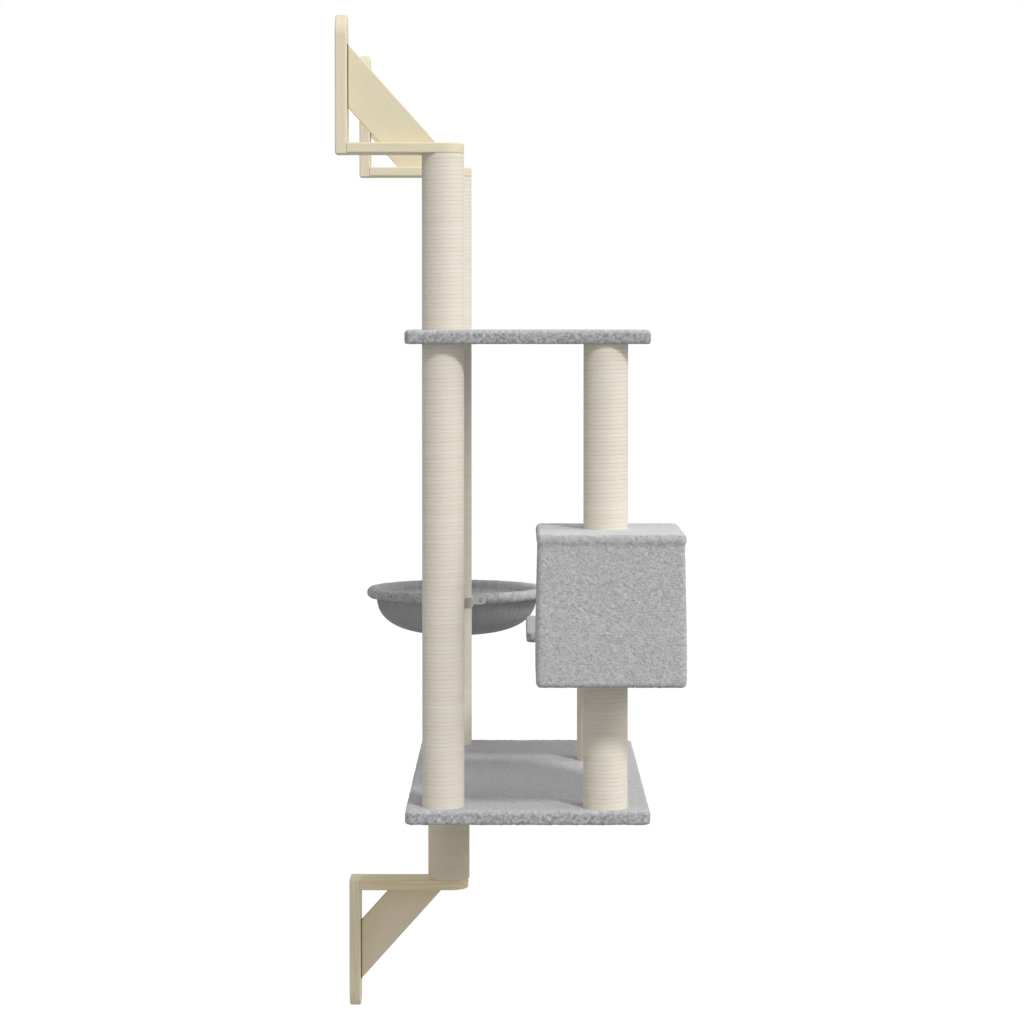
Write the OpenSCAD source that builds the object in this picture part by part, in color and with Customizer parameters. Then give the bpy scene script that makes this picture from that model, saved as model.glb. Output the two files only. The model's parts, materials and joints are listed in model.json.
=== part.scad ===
// Wall mounted cat tree. Two tall sisal posts hang from a pair of timber wall brackets and a
// short one stands on a third bracket. They carry two plush platforms, a cat house, a small
// step and a hanging bowl. Units are millimetres.
// +X runs out from the wall, +Y runs along the wall to the right, and +Z is up.
// The origin lies on the wall, midway between the two wall holes of the lower bracket.

/* [Wall brackets] */
// Width of every wall plate, arm and brace
bracket_w = 80; // [70:1:90]
// Thickness of a wall plate
plate_t = 22; // [18:1:26]
// Length of a wall plate
plate_len = 262; // [250:1:300]
// Thickness of an arm
arm_t = 20; // [16:1:24]
// Thickness of a brace
brace_t = 20; // [15:1:30]
// Width of a brace, across its slope
brace_w = 80; // [60:1:90]
// Height above the arm at which the brace's outer edge meets the wall plate
brace_rise = 188; // [176:1:196]
// Gap between the brace's toe and the recess of the post bolt
brace_toe_gap = 1; // [0.5:0.5:4]
// Diameter of the dowels between an arm and its brace
dowel_d = 8; // [6:1:10]
// Length of such a dowel in the arm
dowel_in_arm = 12; // [8:1:15]
// Length of such a dowel in the brace
dowel_in_brace = 20; // [12:1:24]
// Gap between a dowel and its hole
dowel_gap = 0.1; // [0.1:0.05:0.2]
// Rounding of the long edges of plates and arms
timber_edge_r = 3; // [1:0.5:5]
// Rounding of the brace's long edges
brace_edge_r = 2; // [1:0.5:4]
// Diameter of a hole for a wall screw
wall_hole_d = 6.5; // [5:0.5:8]
// Diameter of the countersink on a hole for a wall screw
wall_sink_d = 13; // [11:0.5:15]
// Distance from the free end of a wall plate to its outer wall hole
wall_hole_inset = 40; // [30:1:45]
// Distance from the arm to the inner wall hole
wall_hole_rise = 34; // [28:1:38]

/* [Posts] */
// Distance from the wall to the axes of the rear posts and the low post
wall_to_post = 202; // [192:1:220]
// Distance between the axes of the two rear posts
rear_spacing = 880; // [860:1:890]
// Outside diameter of the rear posts
rear_post_d = 80; // [74:1:86]
// Outside diameter of the front posts and the low post
front_post_d = 84.5; // [78:0.5:90]
// Place of the front left post along the wall
front_left_y = -450; // [-456:1:-430]
// Place of the front right post along the wall
front_right_y = 190; // [150:1:210]
// Length of the low post, from the lower bracket up to the base platform
low_post_len = 190; // [150:1:200]
// Length of the rear posts between the two platforms
rear_lower_len = 880; // [820:1:940]
// Length of the rear posts above the upper platform
rear_upper_len = 336; // [280:1:400]
// Length of the front left post below the house
house_post_len = 247; // [200:1:300]
// Length of the front right post
step_post_len = 267; // [220:1:300]
// Thickness of the sisal rope
rope_d = 8; // [6:0.5:9]
// Wall of the cardboard tube in each post
tube_wall = 3.5; // [2.5:0.5:5]
// Gap between the rope and its tube
wrap_gap = 0.2; // [0.1:0.1:0.3]
// Thickness of the plug in each end of a post
plug_t = 20; // [16:1:28]
// Gap between a plug and its tube
plug_gap = 0.15; // [0.1:0.05:0.3]
// Least pitch of the rope on the low post
rope_pitch = 8; // [8:0.1:12]
// Gap between the rope's ends on the low post and the boards
rope_end_gap = 0.3; // [0.2:0.1:1]

/* [Platforms] */
// Depth of the base and upper platforms, out from the wall, with their plush
platform_x = 460; // [440:1:500]
// Width of the base and upper platforms, along the wall, with their plush
platform_y = 1000; // [990:1:1040]
// Thickness of the base and upper platforms, with their plush
platform_t = 24; // [20:1:30]
// Distance from a platform's rear edge to the rear post axes
rear_inset = 70; // [60:1:80]
// Distance from a platform's front edge to the front post axes
front_inset = 82; // [70:1:90]
// Depth of the small step, with its plush
step_x = 298; // [260:1:320]
// Width of the small step, with its plush
step_y = 360; // [320:1:400]
// Thickness of the small step, with its plush
step_t = 22; // [18:1:28]
// Thickness of the plush on each face
plush_t = 4; // [3:0.5:5]
// Gap between a board and its plush
plush_gap = 0.2; // [0.1:0.1:0.3]
// Corner radius of the platforms and the step, seen from above
platform_corner_r = 12; // [9:1:20]
// Rounding of a plush edge
plush_edge_r = 5; // [4:0.5:7]

/* [House] */
// Depth of the house, out from the wall, with its plush
house_x = 276; // [260:1:300]
// Width of the house, along the wall, with its plush
house_y = 316; // [300:1:320]
// Height of the house, with its plush
house_h = 283; // [270:1:320]
// Distance of the house's middle in front of its post
house_shift = 7; // [0:1:16]
// Thickness of the house's panels
panel_t = 12; // [9:1:15]
// Thickness of the lining inside the house
lining_t = 3; // [2:0.5:5]
// Diameter of the round entrance
entrance_d = 190; // [150:1:200]
// Height of the entrance's middle above the middle of the house
entrance_lift = 0; // [-6:1:6]
// Rounding of the house's plush corners
house_edge_r = 9; // [8:1:12]
// Height of the house's padded roof
roof_h = 20; // [16:1:26]
// Distance by which the padded roof stands out over the walls
roof_lip = 2; // [1:0.5:3]
// Distance from the house's corners to its screws
house_screw_inset = 50; // [30:1:70]

/* [Bowl] */
// Outside diameter of the bowl's padded rim
bowl_d = 406; // [380:1:407]
// Thickness of the padded rim
rim_d = 23; // [19:0.5:26]
// Diameter of the steel ring in the rim
ring_d = 10; // [9:0.5:12]
// Gap between the ring and its cover
ring_gap = 0.25; // [0.2:0.05:0.4]
// Depth of the bowl below the middle of its rim
bowl_depth = 94; // [80:1:120]
// Thickness of the bowl's cloth
cloth_t = 3; // [2:0.5:4]
// Fullness of the bowl's profile, 2 for an ellipse
bowl_fullness = 2.7; // [2:0.1:3.5]
// Height of the middle of the rim above the base platform
bowl_rise = 313; // [250:1:500]
// Angle by which the bowl is turned out from the wall
bowl_turn = 0.5; // [0.5:0.5:6]
// Height of the steel strap that holds the bowl
strap_h = 20; // [16:1:24]
// Thickness of the strap
strap_t = 3; // [2:0.5:3]
// Distance from the post's axis to the bolts of the strap
strap_bolt_x = 61; // [58:1:70]
// Gap between the strap and the post, and between the rim and the post
strap_gap = 0.3; // [0.2:0.1:0.4]
// Diameter of the strap's bolts
strap_bolt_d = 5; // [4:0.5:5]
// Diameter of the heads of the strap's bolts
strap_head_d = 11; // [9:0.5:13]
// Height of the heads of the strap's bolts
strap_head_h = 3; // [2:0.5:4]
// Width of the strap's nuts across their corners
strap_nut_d = 9; // [8.5:0.5:10]
// Height of the strap's nuts
strap_nut_h = 4; // [3:0.5:5]
// Length of the bowl's cloth inside the edge of its rim
cloth_seam = 1; // [0.5:0.5:2]
// Gap between the bowl's cloth and its rim
rim_air = 0.3; // [0.2:0.1:0.5]
// Width of the seam along the rim's cover
seam_w = 1; // [0.5:0.5:2]

/* [Fasteners] */
// Diameter of the bolts and studs that join posts and boards
bolt_d = 8; // [6:1:10]
// Clearance round a bolt in a board or a plug
bolt_clear = 0.2; // [0.1:0.05:0.4]
// Diameter of a bolt's head
bolt_head_d = 15; // [13:0.5:16]
// Height of a bolt's head
bolt_head_h = 4.5; // [3:0.5:6]
// Length of a bolt or a stud in a plug
bolt_bite = 17; // [12:1:18]
// Diameter of a washer
washer_d = 20; // [18:0.5:22]
// Thickness of a washer
washer_t = 1.6; // [1:0.1:2.4]
// Diameter of a wood screw
screw_d = 4.5; // [3.5:0.5:5]
// Diameter of a wood screw's head
screw_head_d = 9; // [8:0.5:10]
// Length of the wood screws in the brackets
screw_len = 60; // [50:1:70]
// Length of the wood screws in the house
house_screw_len = 35; // [30:1:45]
// Clearance round a wood screw
screw_clear = 0.15; // [0.1:0.05:0.3]

/* [Hidden] */
$fn = 96;

timber_colour = [0.84, 0.78, 0.63];
board_colour = [0.68, 0.56, 0.42];
plush_colour = [0.68, 0.68, 0.69];
sisal_colour = [0.87, 0.83, 0.75];
tube_colour = [0.62, 0.5, 0.36];
plug_colour = [0.8, 0.72, 0.58];
steel_colour = [0.72, 0.73, 0.75];
bowl_colour = [0.45, 0.45, 0.46];
strap_colour = [0.6, 0.62, 0.61];

// A cutter runs this far past the faces that it cuts
cut = 1;

// Shares of a diameter: the tip of a wood screw, a bolt's socket, the dome of a bolt's head
// and the top of the head of a strap's bolt
screw_tip_share = 0.25;
socket_share = 1 / 3;
dome_share = 0.9;
strap_head_share = 0.8;

// A round end keeps this much of a flat, so that its two corners never meet
least_flat = 0.02;

// Heights, worked out from the lower bracket upwards
low_arm_top = (arm_t + wall_hole_rise + plate_len - wall_hole_inset) / 2;
base_bottom = low_arm_top + low_post_len;
base_top = base_bottom + platform_t;
upper_bottom = base_top + rear_lower_len;
upper_top = upper_bottom + platform_t;
upper_arm_bottom = upper_top + rear_upper_len;
house_bottom = base_top + house_post_len;
house_top = house_bottom + house_h;
step_bottom = base_top + step_post_len;
step_top = step_bottom + step_t;
rim_z = base_top + bowl_rise;

// Places seen from above
rear_y = rear_spacing / 2;
platform_rear = wall_to_post - rear_inset;
platform_middle = platform_rear + platform_x / 2;
front_x = platform_rear + platform_x - front_inset;
house_middle = front_x + house_shift;

// From a plush face to the board under it, and through a house wall with its lining
board_inset = plush_t + plush_gap;
house_inset = plush_t + plush_gap;
house_wall = house_inset + panel_t + plush_gap + lining_t;

// A post bolt's head and washer lie in a recess of this depth and radius
head_sink = washer_t + bolt_head_h;
recess_r = washer_d / 2 + bolt_clear;

// Each post is its axis, its foot, its length and its diameter
rear_left_lower = [wall_to_post, -rear_y, base_top, rear_lower_len, rear_post_d];
rear_right_lower = [wall_to_post, rear_y, base_top, rear_lower_len, rear_post_d];
rear_left_upper = [wall_to_post, -rear_y, upper_top, rear_upper_len, rear_post_d];
rear_right_upper = [wall_to_post, rear_y, upper_top, rear_upper_len, rear_post_d];
front_left_lower = [front_x, front_left_y, base_top, house_post_len, front_post_d];
front_left_upper = [front_x, front_left_y, house_top, upper_bottom - house_top, front_post_d];
front_right = [front_x, front_right_y, base_top, step_post_len, front_post_d];
low_post = [wall_to_post, 0, low_arm_top, low_post_len, front_post_d];

// The seat of a post bolt on a face at height z: the place of its washer, the way that the bolt
// points, up or down, its grip, and how far its recess is cut past the head. Through the open
// plush the head is flush with the face, and under closed plush it is flush with the board.
function open_seat(x, y, z, way, thick) =
    [x, y, z + way * head_sink, way, thick - head_sink, cut];
function covered_seat(x, y, z, way, thick) =
    [x, y, z + way * (board_inset + head_sink), way, thick - board_inset - head_sink, plush_gap / 2];

base_seats = [
    open_seat(wall_to_post, -rear_y, base_bottom, 1, platform_t),
    open_seat(wall_to_post, rear_y, base_bottom, 1, platform_t),
    open_seat(front_x, front_left_y, base_bottom, 1, platform_t),
    open_seat(front_x, front_right_y, base_bottom, 1, platform_t),
    covered_seat(wall_to_post, 0, base_top, -1, platform_t)
];
upper_seats = [covered_seat(front_x, front_left_y, upper_top, -1, platform_t)];
step_seats = [covered_seat(front_x, front_right_y, step_top, -1, step_t)];
house_seats = [
    open_seat(front_x, front_left_y, house_top - house_wall, 1, house_wall),
    open_seat(front_x, front_left_y, house_bottom + house_wall, -1, house_wall)
];
// The arm's seat stands in the bracket's own frame, where the post is below the arm
arm_seat = open_seat(wall_to_post, 0, arm_t, -1, arm_t);

// Brace: its outer edge runs from brace_rise on the plate to brace_run on the arm
brace_run = wall_to_post - plate_t - recess_r - brace_toe_gap;
brace_slope = atan2(brace_rise, brace_run);
brace_heel_rise = brace_rise - brace_w / cos(brace_slope);
brace_heel_run = brace_run - brace_w / sin(brace_slope);

// Bracket screws through the plate: two into the arm's end and two into the brace's upper foot,
// where the slope leaves room for their tips. Two dowels hold the brace's lower foot.
screw_shares = [0.15, 0.55];
dowel_shares = [0.25, 0.6];
arm_screw_y = bracket_w / 4;
plate_screw_z = [for (share = screw_shares)
    brace_heel_rise + share * (brace_rise - brace_heel_rise)];
dowel_x = [for (share = dowel_shares) brace_heel_run + share * (brace_run - brace_heel_run)];
wall_hole_z = [arm_t + wall_hole_rise, plate_len - wall_hole_inset];

// Rope on the low post: one tube of six sides, wound in a helix
rope_sides = 6;
rings_per_loop = 24;
most_loops = 24;
rope_half = rope_d / 2;
rope_rise_half = rope_half * sin(60);
rope_core_r = low_post[4] / 2 - rope_half;
rope_room = low_post_len - 2 * (rope_rise_half + rope_end_gap);
rope_loops = min(most_loops, floor(rope_room / rope_pitch));
rope_climb = rope_room / rope_loops;
rope_rings = rope_loops * rings_per_loop;

// Bowl, measured from the axis of the rear right post
ring_r = bowl_d / 2 - rim_d / 2;
bowl_reach = rear_post_d / 2 + strap_gap + bowl_d / 2;
cloth_r = ring_r - rim_d / 2 + cloth_seam;
cloth_top = sqrt(pow(rim_d / 2 + rim_air, 2) - pow(ring_r - cloth_r, 2));
cloth_steps = 20;
seam_angle = 210;
strap_r = rear_post_d / 2 + strap_gap + strap_t / 2;
tab_reach = bowl_d / 2 + strap_gap + strap_t / 2;
tab_angle = asin(strap_bolt_x / tab_reach);
tab_y = bowl_reach - tab_reach * cos(tab_angle);
strap_leg = tab_y - (strap_bolt_x - strap_r) * tan(tab_angle);
bowl_axis = [wall_to_post, rear_y, rim_z];

// Flat outline of w by h round the origin, with corners of radius r
module rounded_rect(w, h, r) {
    square([w - 2 * r, h], center = true);
    square([w, h - 2 * r], center = true);
    for (sx = [-1, 1], sy = [-1, 1])
        translate([sx * (w / 2 - r), sy * (h / 2 - r)]) circle(r = r);
}

// Block of x by y by h that stands on the origin, with upright corners of radius corner
// and its other edges rounded to edge
module soft_block(x, y, h, corner, edge) {
    intersection() {
        linear_extrude(h) rounded_rect(x, y, corner);
        rotate([90, 0, 0])
            linear_extrude(y + 2 * cut, center = true)
                translate([0, h / 2]) rounded_rect(x, h, edge);
        rotate([90, 0, 90])
            linear_extrude(x + 2 * cut, center = true)
                translate([0, h / 2]) rounded_rect(y, h, edge);
    }
}

// Plain block that stands on the origin, centred in x and y
module block(x, y, h) {
    translate([-x / 2, -y / 2, 0]) cube([x, y, h]);
}

// Board of width w and thickness t along +X with a round free end and rounded long edges
module tongue(len, w, t, r) {
    rotate([90, 0, 90])
        linear_extrude(len - w / 2)
            translate([0, t / 2]) rounded_rect(w, t, r);
    translate([len - w / 2, 0, t / 2]) rotate([0, 0, -90])
        rotate_extrude(angle = 180)
            intersection() {
                rounded_rect(w, t, r);
                translate([0, -t]) square([w, 2 * t]);
            }
}

// A bracket stands at the origin with its arm's post side on z = 0 and its plate upwards.
// The upper two brackets stand so, and the lower one is turned over.
module at_upper_bracket(side) {
    translate([0, side * rear_y, upper_arm_bottom]) children();
}

module at_lower_bracket() {
    translate([0, 0, low_arm_top]) mirror([0, 0, 1]) children();
}

// Countersunk hole along +Z: the sink opens downwards on z = 0
module screw_hole(len) {
    hole_r = screw_d / 2 + screw_clear;
    sink_r = screw_head_d / 2 + screw_clear;
    translate([0, 0, -cut]) cylinder(r = hole_r, h = len + cut);
    cylinder(r1 = sink_r, r2 = hole_r, h = sink_r - hole_r);
}

// Wood screw along +Z with its head flush with z = 0
module wood_screw(len) {
    head_h = (screw_head_d - screw_d) / 2;
    cylinder(r1 = screw_head_d / 2, r2 = screw_d / 2, h = head_h);
    cylinder(r = screw_d / 2, h = len - screw_d);
    translate([0, 0, len - screw_d])
        cylinder(d1 = screw_d, d2 = screw_d * screw_tip_share, h = screw_d);
}

module plate_screws() {
    for (side = [-1, 1]) translate([0, side * arm_screw_y, arm_t / 2]) rotate([0, 90, 0]) children();
    for (z = plate_screw_z) translate([0, 0, arm_t + z]) rotate([0, 90, 0]) children();
}

// Round bar for the two dowels, longer than they are by spare at each end
module dowel_bars(radius, spare) {
    for (x = dowel_x)
        translate([plate_t + x, 0, arm_t - dowel_in_arm - spare])
            cylinder(r = radius, h = dowel_in_arm + dowel_in_brace + 2 * spare);
}

module wall_plate() {
    color(timber_colour)
        difference() {
            translate([plate_t, 0, 0]) rotate([0, -90, 0])
                tongue(plate_len, bracket_w, plate_t, timber_edge_r);
            plate_screws() screw_hole(plate_t + cut);
            for (z = wall_hole_z) translate([0, 0, z]) rotate([0, 90, 0]) wall_hole();
        }
}

// Hole for a wall screw through a plate, with its countersink on the room side
module wall_hole() {
    sink = (wall_sink_d - wall_hole_d) / 2;
    translate([0, 0, -cut]) cylinder(d = wall_hole_d, h = plate_t + 2 * cut);
    translate([0, 0, plate_t - sink])
        cylinder(d1 = wall_hole_d, d2 = wall_sink_d + 2 * cut, h = sink + cut);
}

module bracket_arm() {
    color(timber_colour)
        difference() {
            translate([plate_t, 0, 0])
                tongue(wall_to_post + bracket_w / 2 - plate_t, bracket_w, arm_t, timber_edge_r);
            bolt_holes([arm_seat]);
            dowel_bars(dowel_d / 2 + dowel_gap, dowel_gap);
            plate_screws() screw_hole(screw_len + screw_clear);
        }
}

module bracket_brace() {
    color(timber_colour)
        difference() {
            intersection() {
                rotate([90, 0, 0])
                    linear_extrude(brace_t, center = true)
                        polygon([
                            [plate_t, arm_t + brace_rise],
                            [plate_t, arm_t + brace_heel_rise],
                            [plate_t + brace_heel_run, arm_t],
                            [plate_t + brace_run, arm_t]
                        ]);
                // The long edges are rounded by a bar that lies along the slope
                translate([plate_t, 0, arm_t + brace_rise]) rotate([0, brace_slope, 0])
                    rotate([90, 0, 90])
                        linear_extrude(4 * (brace_run + brace_rise), center = true)
                            translate([0, -brace_w / 2]) rounded_rect(brace_t, brace_w, brace_edge_r);
            }
            plate_screws() screw_hole(screw_len + screw_clear);
            dowel_bars(dowel_d / 2 + dowel_gap, dowel_gap);
        }
}

module upper_left_wall_plate() at_upper_bracket(-1) wall_plate();
module upper_left_arm() at_upper_bracket(-1) bracket_arm();
module upper_left_brace() at_upper_bracket(-1) bracket_brace();
module upper_right_wall_plate() at_upper_bracket(1) wall_plate();
module upper_right_arm() at_upper_bracket(1) bracket_arm();
module upper_right_brace() at_upper_bracket(1) bracket_brace();
module lower_wall_plate() at_lower_bracket() wall_plate();
module lower_arm() at_lower_bracket() bracket_arm();
module lower_brace() at_lower_bracket() bracket_brace();

module at_brackets() {
    for (side = [-1, 1]) at_upper_bracket(side) children();
    at_lower_bracket() children();
}

module bracket_screws() {
    color(steel_colour) at_brackets() plate_screws() wood_screw(screw_len);
}

module bracket_dowels() {
    color(plug_colour) at_brackets() dowel_bars(dowel_d / 2, 0);
}

// Outside and inside radii of the cardboard tube in a post of diameter d
function tube_out(d) = d / 2 - rope_d - wrap_gap;
function tube_in(d) = tube_out(d) - tube_wall;

module ring_wall(r_out, r_in, h) {
    difference() {
        cylinder(r = r_out, h = h);
        translate([0, 0, -cut]) cylinder(r = r_in, h = h + 2 * cut);
    }
}

module post_tube(post) {
    color(tube_colour)
        translate([post[0], post[1], post[2]])
            ring_wall(tube_out(post[4]), tube_in(post[4]), post[3]);
}

module post_sisal(post) {
    color(sisal_colour)
        translate([post[0], post[1], post[2]])
            ring_wall(post[4] / 2, tube_out(post[4]) + wrap_gap, post[3]);
}

module post_plugs(post) {
    color(plug_colour)
        for (z = [0, post[3] - plug_t])
            translate([post[0], post[1], post[2] + z])
                ring_wall(tube_in(post[4]) - plug_gap, bolt_d / 2 + bolt_clear, plug_t);
}

module rear_left_lower_tube() post_tube(rear_left_lower);
module rear_left_lower_sisal() post_sisal(rear_left_lower);
module rear_left_lower_plugs() post_plugs(rear_left_lower);
module rear_left_upper_tube() post_tube(rear_left_upper);
module rear_left_upper_sisal() post_sisal(rear_left_upper);
module rear_left_upper_plugs() post_plugs(rear_left_upper);
module rear_right_lower_tube() post_tube(rear_right_lower);
module rear_right_lower_sisal() post_sisal(rear_right_lower);
module rear_right_lower_plugs() post_plugs(rear_right_lower);
module rear_right_upper_tube() post_tube(rear_right_upper);
module rear_right_upper_sisal() post_sisal(rear_right_upper);
module rear_right_upper_plugs() post_plugs(rear_right_upper);
module front_left_lower_tube() post_tube(front_left_lower);
module front_left_lower_sisal() post_sisal(front_left_lower);
module front_left_lower_plugs() post_plugs(front_left_lower);
module front_left_upper_tube() post_tube(front_left_upper);
module front_left_upper_sisal() post_sisal(front_left_upper);
module front_left_upper_plugs() post_plugs(front_left_upper);
module front_right_tube() post_tube(front_right);
module front_right_sisal() post_sisal(front_right);
module front_right_plugs() post_plugs(front_right);
module low_post_tube() post_tube(low_post);
module low_post_plugs() post_plugs(low_post);

// A point on the rope's centre line: it climbs a whole loop every 360 degrees
function rope_turn(i) = i * 360 / rings_per_loop;
function rope_centre(i) = [
    rope_core_r * cos(rope_turn(i)),
    rope_core_r * sin(rope_turn(i)),
    rope_end_gap + rope_rise_half + rope_climb * i / rings_per_loop
];
function rope_forward(i) = [-sin(rope_turn(i)), cos(rope_turn(i)), 0];
// One ring of the rope's corners, moved on along the rope by a straight stretch
function rope_ring(i, straight) = [
    for (k = [0 : rope_sides - 1])
        rope_centre(i) + straight * rope_forward(i)
            + rope_half * cos(k * 360 / rope_sides) * [cos(rope_turn(i)), sin(rope_turn(i)), 0]
            + rope_half * sin(k * 360 / rope_sides) * [0, 0, 1]
];
rope_all = concat(
    [rope_ring(0, -rope_d)],
    [for (i = [0 : rope_rings]) rope_ring(i, 0)],
    [rope_ring(rope_rings, rope_d)]
);
rope_self_gap = min([
    for (i = [0 : rope_rings - rings_per_loop - 1], a = rope_ring(i, 0), j = [-1 : 1],
         b = rope_ring(i + rings_per_loop + j, 0))
        norm(a - b)
]);

module low_post_sisal() {
    last = len(rope_all) - 1;
    echo(least_gap_of_the_rope_to_itself = rope_self_gap, loops = rope_loops);
    color(sisal_colour)
        translate([low_post[0], low_post[1], low_post[2]])
            polyhedron(
                points = [for (ring = rope_all, corner = ring) corner],
                faces = concat(
                    [[for (k = [0 : rope_sides - 1]) k]],
                    [for (i = [0 : last - 1], k = [0 : rope_sides - 1], half = [0, 1])
                        let (
                            a = i * rope_sides + k,
                            b = i * rope_sides + (k + 1) % rope_sides,
                            c = a + rope_sides,
                            d = b + rope_sides
                        )
                        half == 0 ? [a, c, d] : [a, d, b]],
                    [[for (k = [rope_sides - 1 : -1 : 0]) last * rope_sides + k]]
                ),
                convexity = 10
            );
}

// A bolt's own frame: its washer lies below z = 0 and the bolt points along +Z
module at_seats(seats) {
    for (seat = seats)
        translate([seat[0], seat[1], seat[2]])
            mirror([0, 0, seat[3] < 0 ? 1 : 0]) {
                $grip = seat[4];
                $past = seat[5];
                children();
            }
}

// Clearance holes for post bolts, each with the recess for its washer and head
module bolt_holes(seats) {
    at_seats(seats) {
        translate([0, 0, -washer_t])
            cylinder(r = bolt_d / 2 + bolt_clear, h = washer_t + $grip + cut);
        translate([0, 0, -head_sink - $past]) cylinder(r = recess_r, h = head_sink + $past);
    }
}

// Clearance holes in the upper platform for the studs between the rear posts
module stud_holes() {
    for (side = [-1, 1])
        translate([wall_to_post, side * rear_y, upper_bottom - cut])
            cylinder(r = bolt_d / 2 + bolt_clear, h = platform_t + 2 * cut);
}

// Bare board and its plush, from the size and place that the plush has
module bare_board(x, y, t, place) {
    translate(place + [0, 0, board_inset])
        linear_extrude(t - 2 * board_inset)
            rounded_rect(x - 2 * board_inset, y - 2 * board_inset, platform_corner_r - board_inset);
}

module board_plush(x, y, t, place) {
    difference() {
        translate(place) soft_block(x, y, t, platform_corner_r, plush_edge_r);
        translate(place + [0, 0, plush_t])
            linear_extrude(t - 2 * plush_t)
                rounded_rect(x - 2 * plush_t, y - 2 * plush_t, platform_corner_r - plush_t);
    }
}

module base_board() {
    color(board_colour)
        difference() {
            bare_board(platform_x, platform_y, platform_t, [platform_middle, 0, base_bottom]);
            bolt_holes(base_seats);
        }
}

module base_plush() {
    color(plush_colour)
        difference() {
            board_plush(platform_x, platform_y, platform_t, [platform_middle, 0, base_bottom]);
            bolt_holes(base_seats);
        }
}

module upper_board() {
    color(board_colour)
        difference() {
            bare_board(platform_x, platform_y, platform_t, [platform_middle, 0, upper_bottom]);
            bolt_holes(upper_seats);
            stud_holes();
        }
}

module upper_plush() {
    color(plush_colour)
        difference() {
            board_plush(platform_x, platform_y, platform_t, [platform_middle, 0, upper_bottom]);
            bolt_holes(upper_seats);
            stud_holes();
        }
}

module step_board() {
    color(board_colour)
        difference() {
            bare_board(step_x, step_y, step_t, [front_x, front_right_y, step_bottom]);
            bolt_holes(step_seats);
        }
}

module step_plush() {
    color(plush_colour)
        difference() {
            board_plush(step_x, step_y, step_t, [front_x, front_right_y, step_bottom]);
            bolt_holes(step_seats);
        }
}

// The house stands on the origin of its own frame, with its entrance towards +X
frame_x = house_x - 2 * house_inset;
frame_y = house_y - 2 * house_inset;
frame_h = house_h - 2 * house_inset;
cabin_x = frame_x - 2 * panel_t;
cabin_y = frame_y - 2 * panel_t;
cabin_h = frame_h - 2 * panel_t;
entrance_z = house_h / 2 + entrance_lift;
wall_edge_r = house_edge_r - roof_lip;

module at_house() {
    translate([house_middle, front_left_y, house_bottom]) children();
}

// Places of the house's screws: roof and floor into the sides, and sides into front and rear
module house_screw_places() {
    for (sx = [-1, 1], sy = [-1, 1]) {
        corner_x = sx * (frame_x / 2 - house_screw_inset);
        wall_y = sy * (frame_y / 2 - panel_t / 2);
        translate([corner_x, wall_y, house_h - house_inset]) mirror([0, 0, 1]) children();
        translate([corner_x, wall_y, house_inset]) children();
        for (z = [house_screw_inset, house_h - house_screw_inset])
            translate([sx * (frame_x / 2 - panel_t / 2), sy * frame_y / 2, z])
                rotate([sy * 90, 0, 0]) children();
    }
}

// Panel whose outer upright corners follow the plush
module house_panel(x, y, h, place) {
    color(board_colour)
        difference() {
            at_house() difference() {
                translate([0, 0, place[2]])
                    linear_extrude(h)
                        intersection() {
                            rounded_rect(frame_x, frame_y, house_edge_r - house_inset);
                            translate([place[0], place[1]]) square([x, y], center = true);
                        }
                house_screw_places() screw_hole(house_screw_len + screw_clear);
            }
            bolt_holes(house_seats);
        }
}

module house_roof_panel()
    house_panel(frame_x, frame_y, panel_t, [0, 0, house_h - house_inset - panel_t]);
module house_floor_panel() house_panel(frame_x, frame_y, panel_t, [0, 0, house_inset]);
module house_left_panel()
    house_panel(frame_x, panel_t, cabin_h, [0, -(frame_y - panel_t) / 2, house_inset + panel_t]);
module house_right_panel()
    house_panel(frame_x, panel_t, cabin_h, [0, (frame_y - panel_t) / 2, house_inset + panel_t]);
module house_rear_panel()
    house_panel(panel_t, cabin_y, cabin_h, [-(frame_x - panel_t) / 2, 0, house_inset + panel_t]);

// The front panel's hole leaves room for the plush that turns in through it
module house_front_panel() {
    color(board_colour)
        difference() {
            house_panel(panel_t, cabin_y, cabin_h, [(frame_x - panel_t) / 2, 0, house_inset + panel_t]);
            at_house() entrance_cutter(entrance_d / 2 + plush_t + plush_gap);
        }
}

module entrance_cutter(r) {
    translate([0, 0, entrance_z]) rotate([0, 90, 0]) cylinder(r = r, h = house_x);
}

// Plush over the outside of the house, turned in through the entrance. The padded roof stands
// out over the walls all round.
module house_plush() {
    color(plush_colour)
        difference() {
            at_house() difference() {
                union() {
                    difference() {
                        house_skin();
                        translate([0, 0, plush_t])
                            linear_extrude(house_h - 2 * plush_t)
                                rounded_rect(house_x - 2 * plush_t, house_y - 2 * plush_t,
                                    house_edge_r - plush_t);
                    }
                    translate([house_x / 2 - house_wall + lining_t, 0, entrance_z])
                        rotate([0, 90, 0])
                            cylinder(r = entrance_d / 2 + plush_t,
                                h = house_wall - lining_t - (roof_lip + plush_t) / 2);
                }
                entrance_cutter(entrance_d / 2);
            }
            bolt_holes(house_seats);
        }
}

// Outer shape of the plush: the walls end inside the roof, above their own rounding
module house_skin() {
    soft_block(house_x - 2 * roof_lip, house_y - 2 * roof_lip, house_h - roof_h + wall_edge_r + cut,
        wall_edge_r, wall_edge_r);
    translate([0, 0, house_h - roof_h])
        soft_block(house_x, house_y, roof_h, house_edge_r,
            min(house_edge_r, (roof_h - least_flat) / 2));
}

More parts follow.
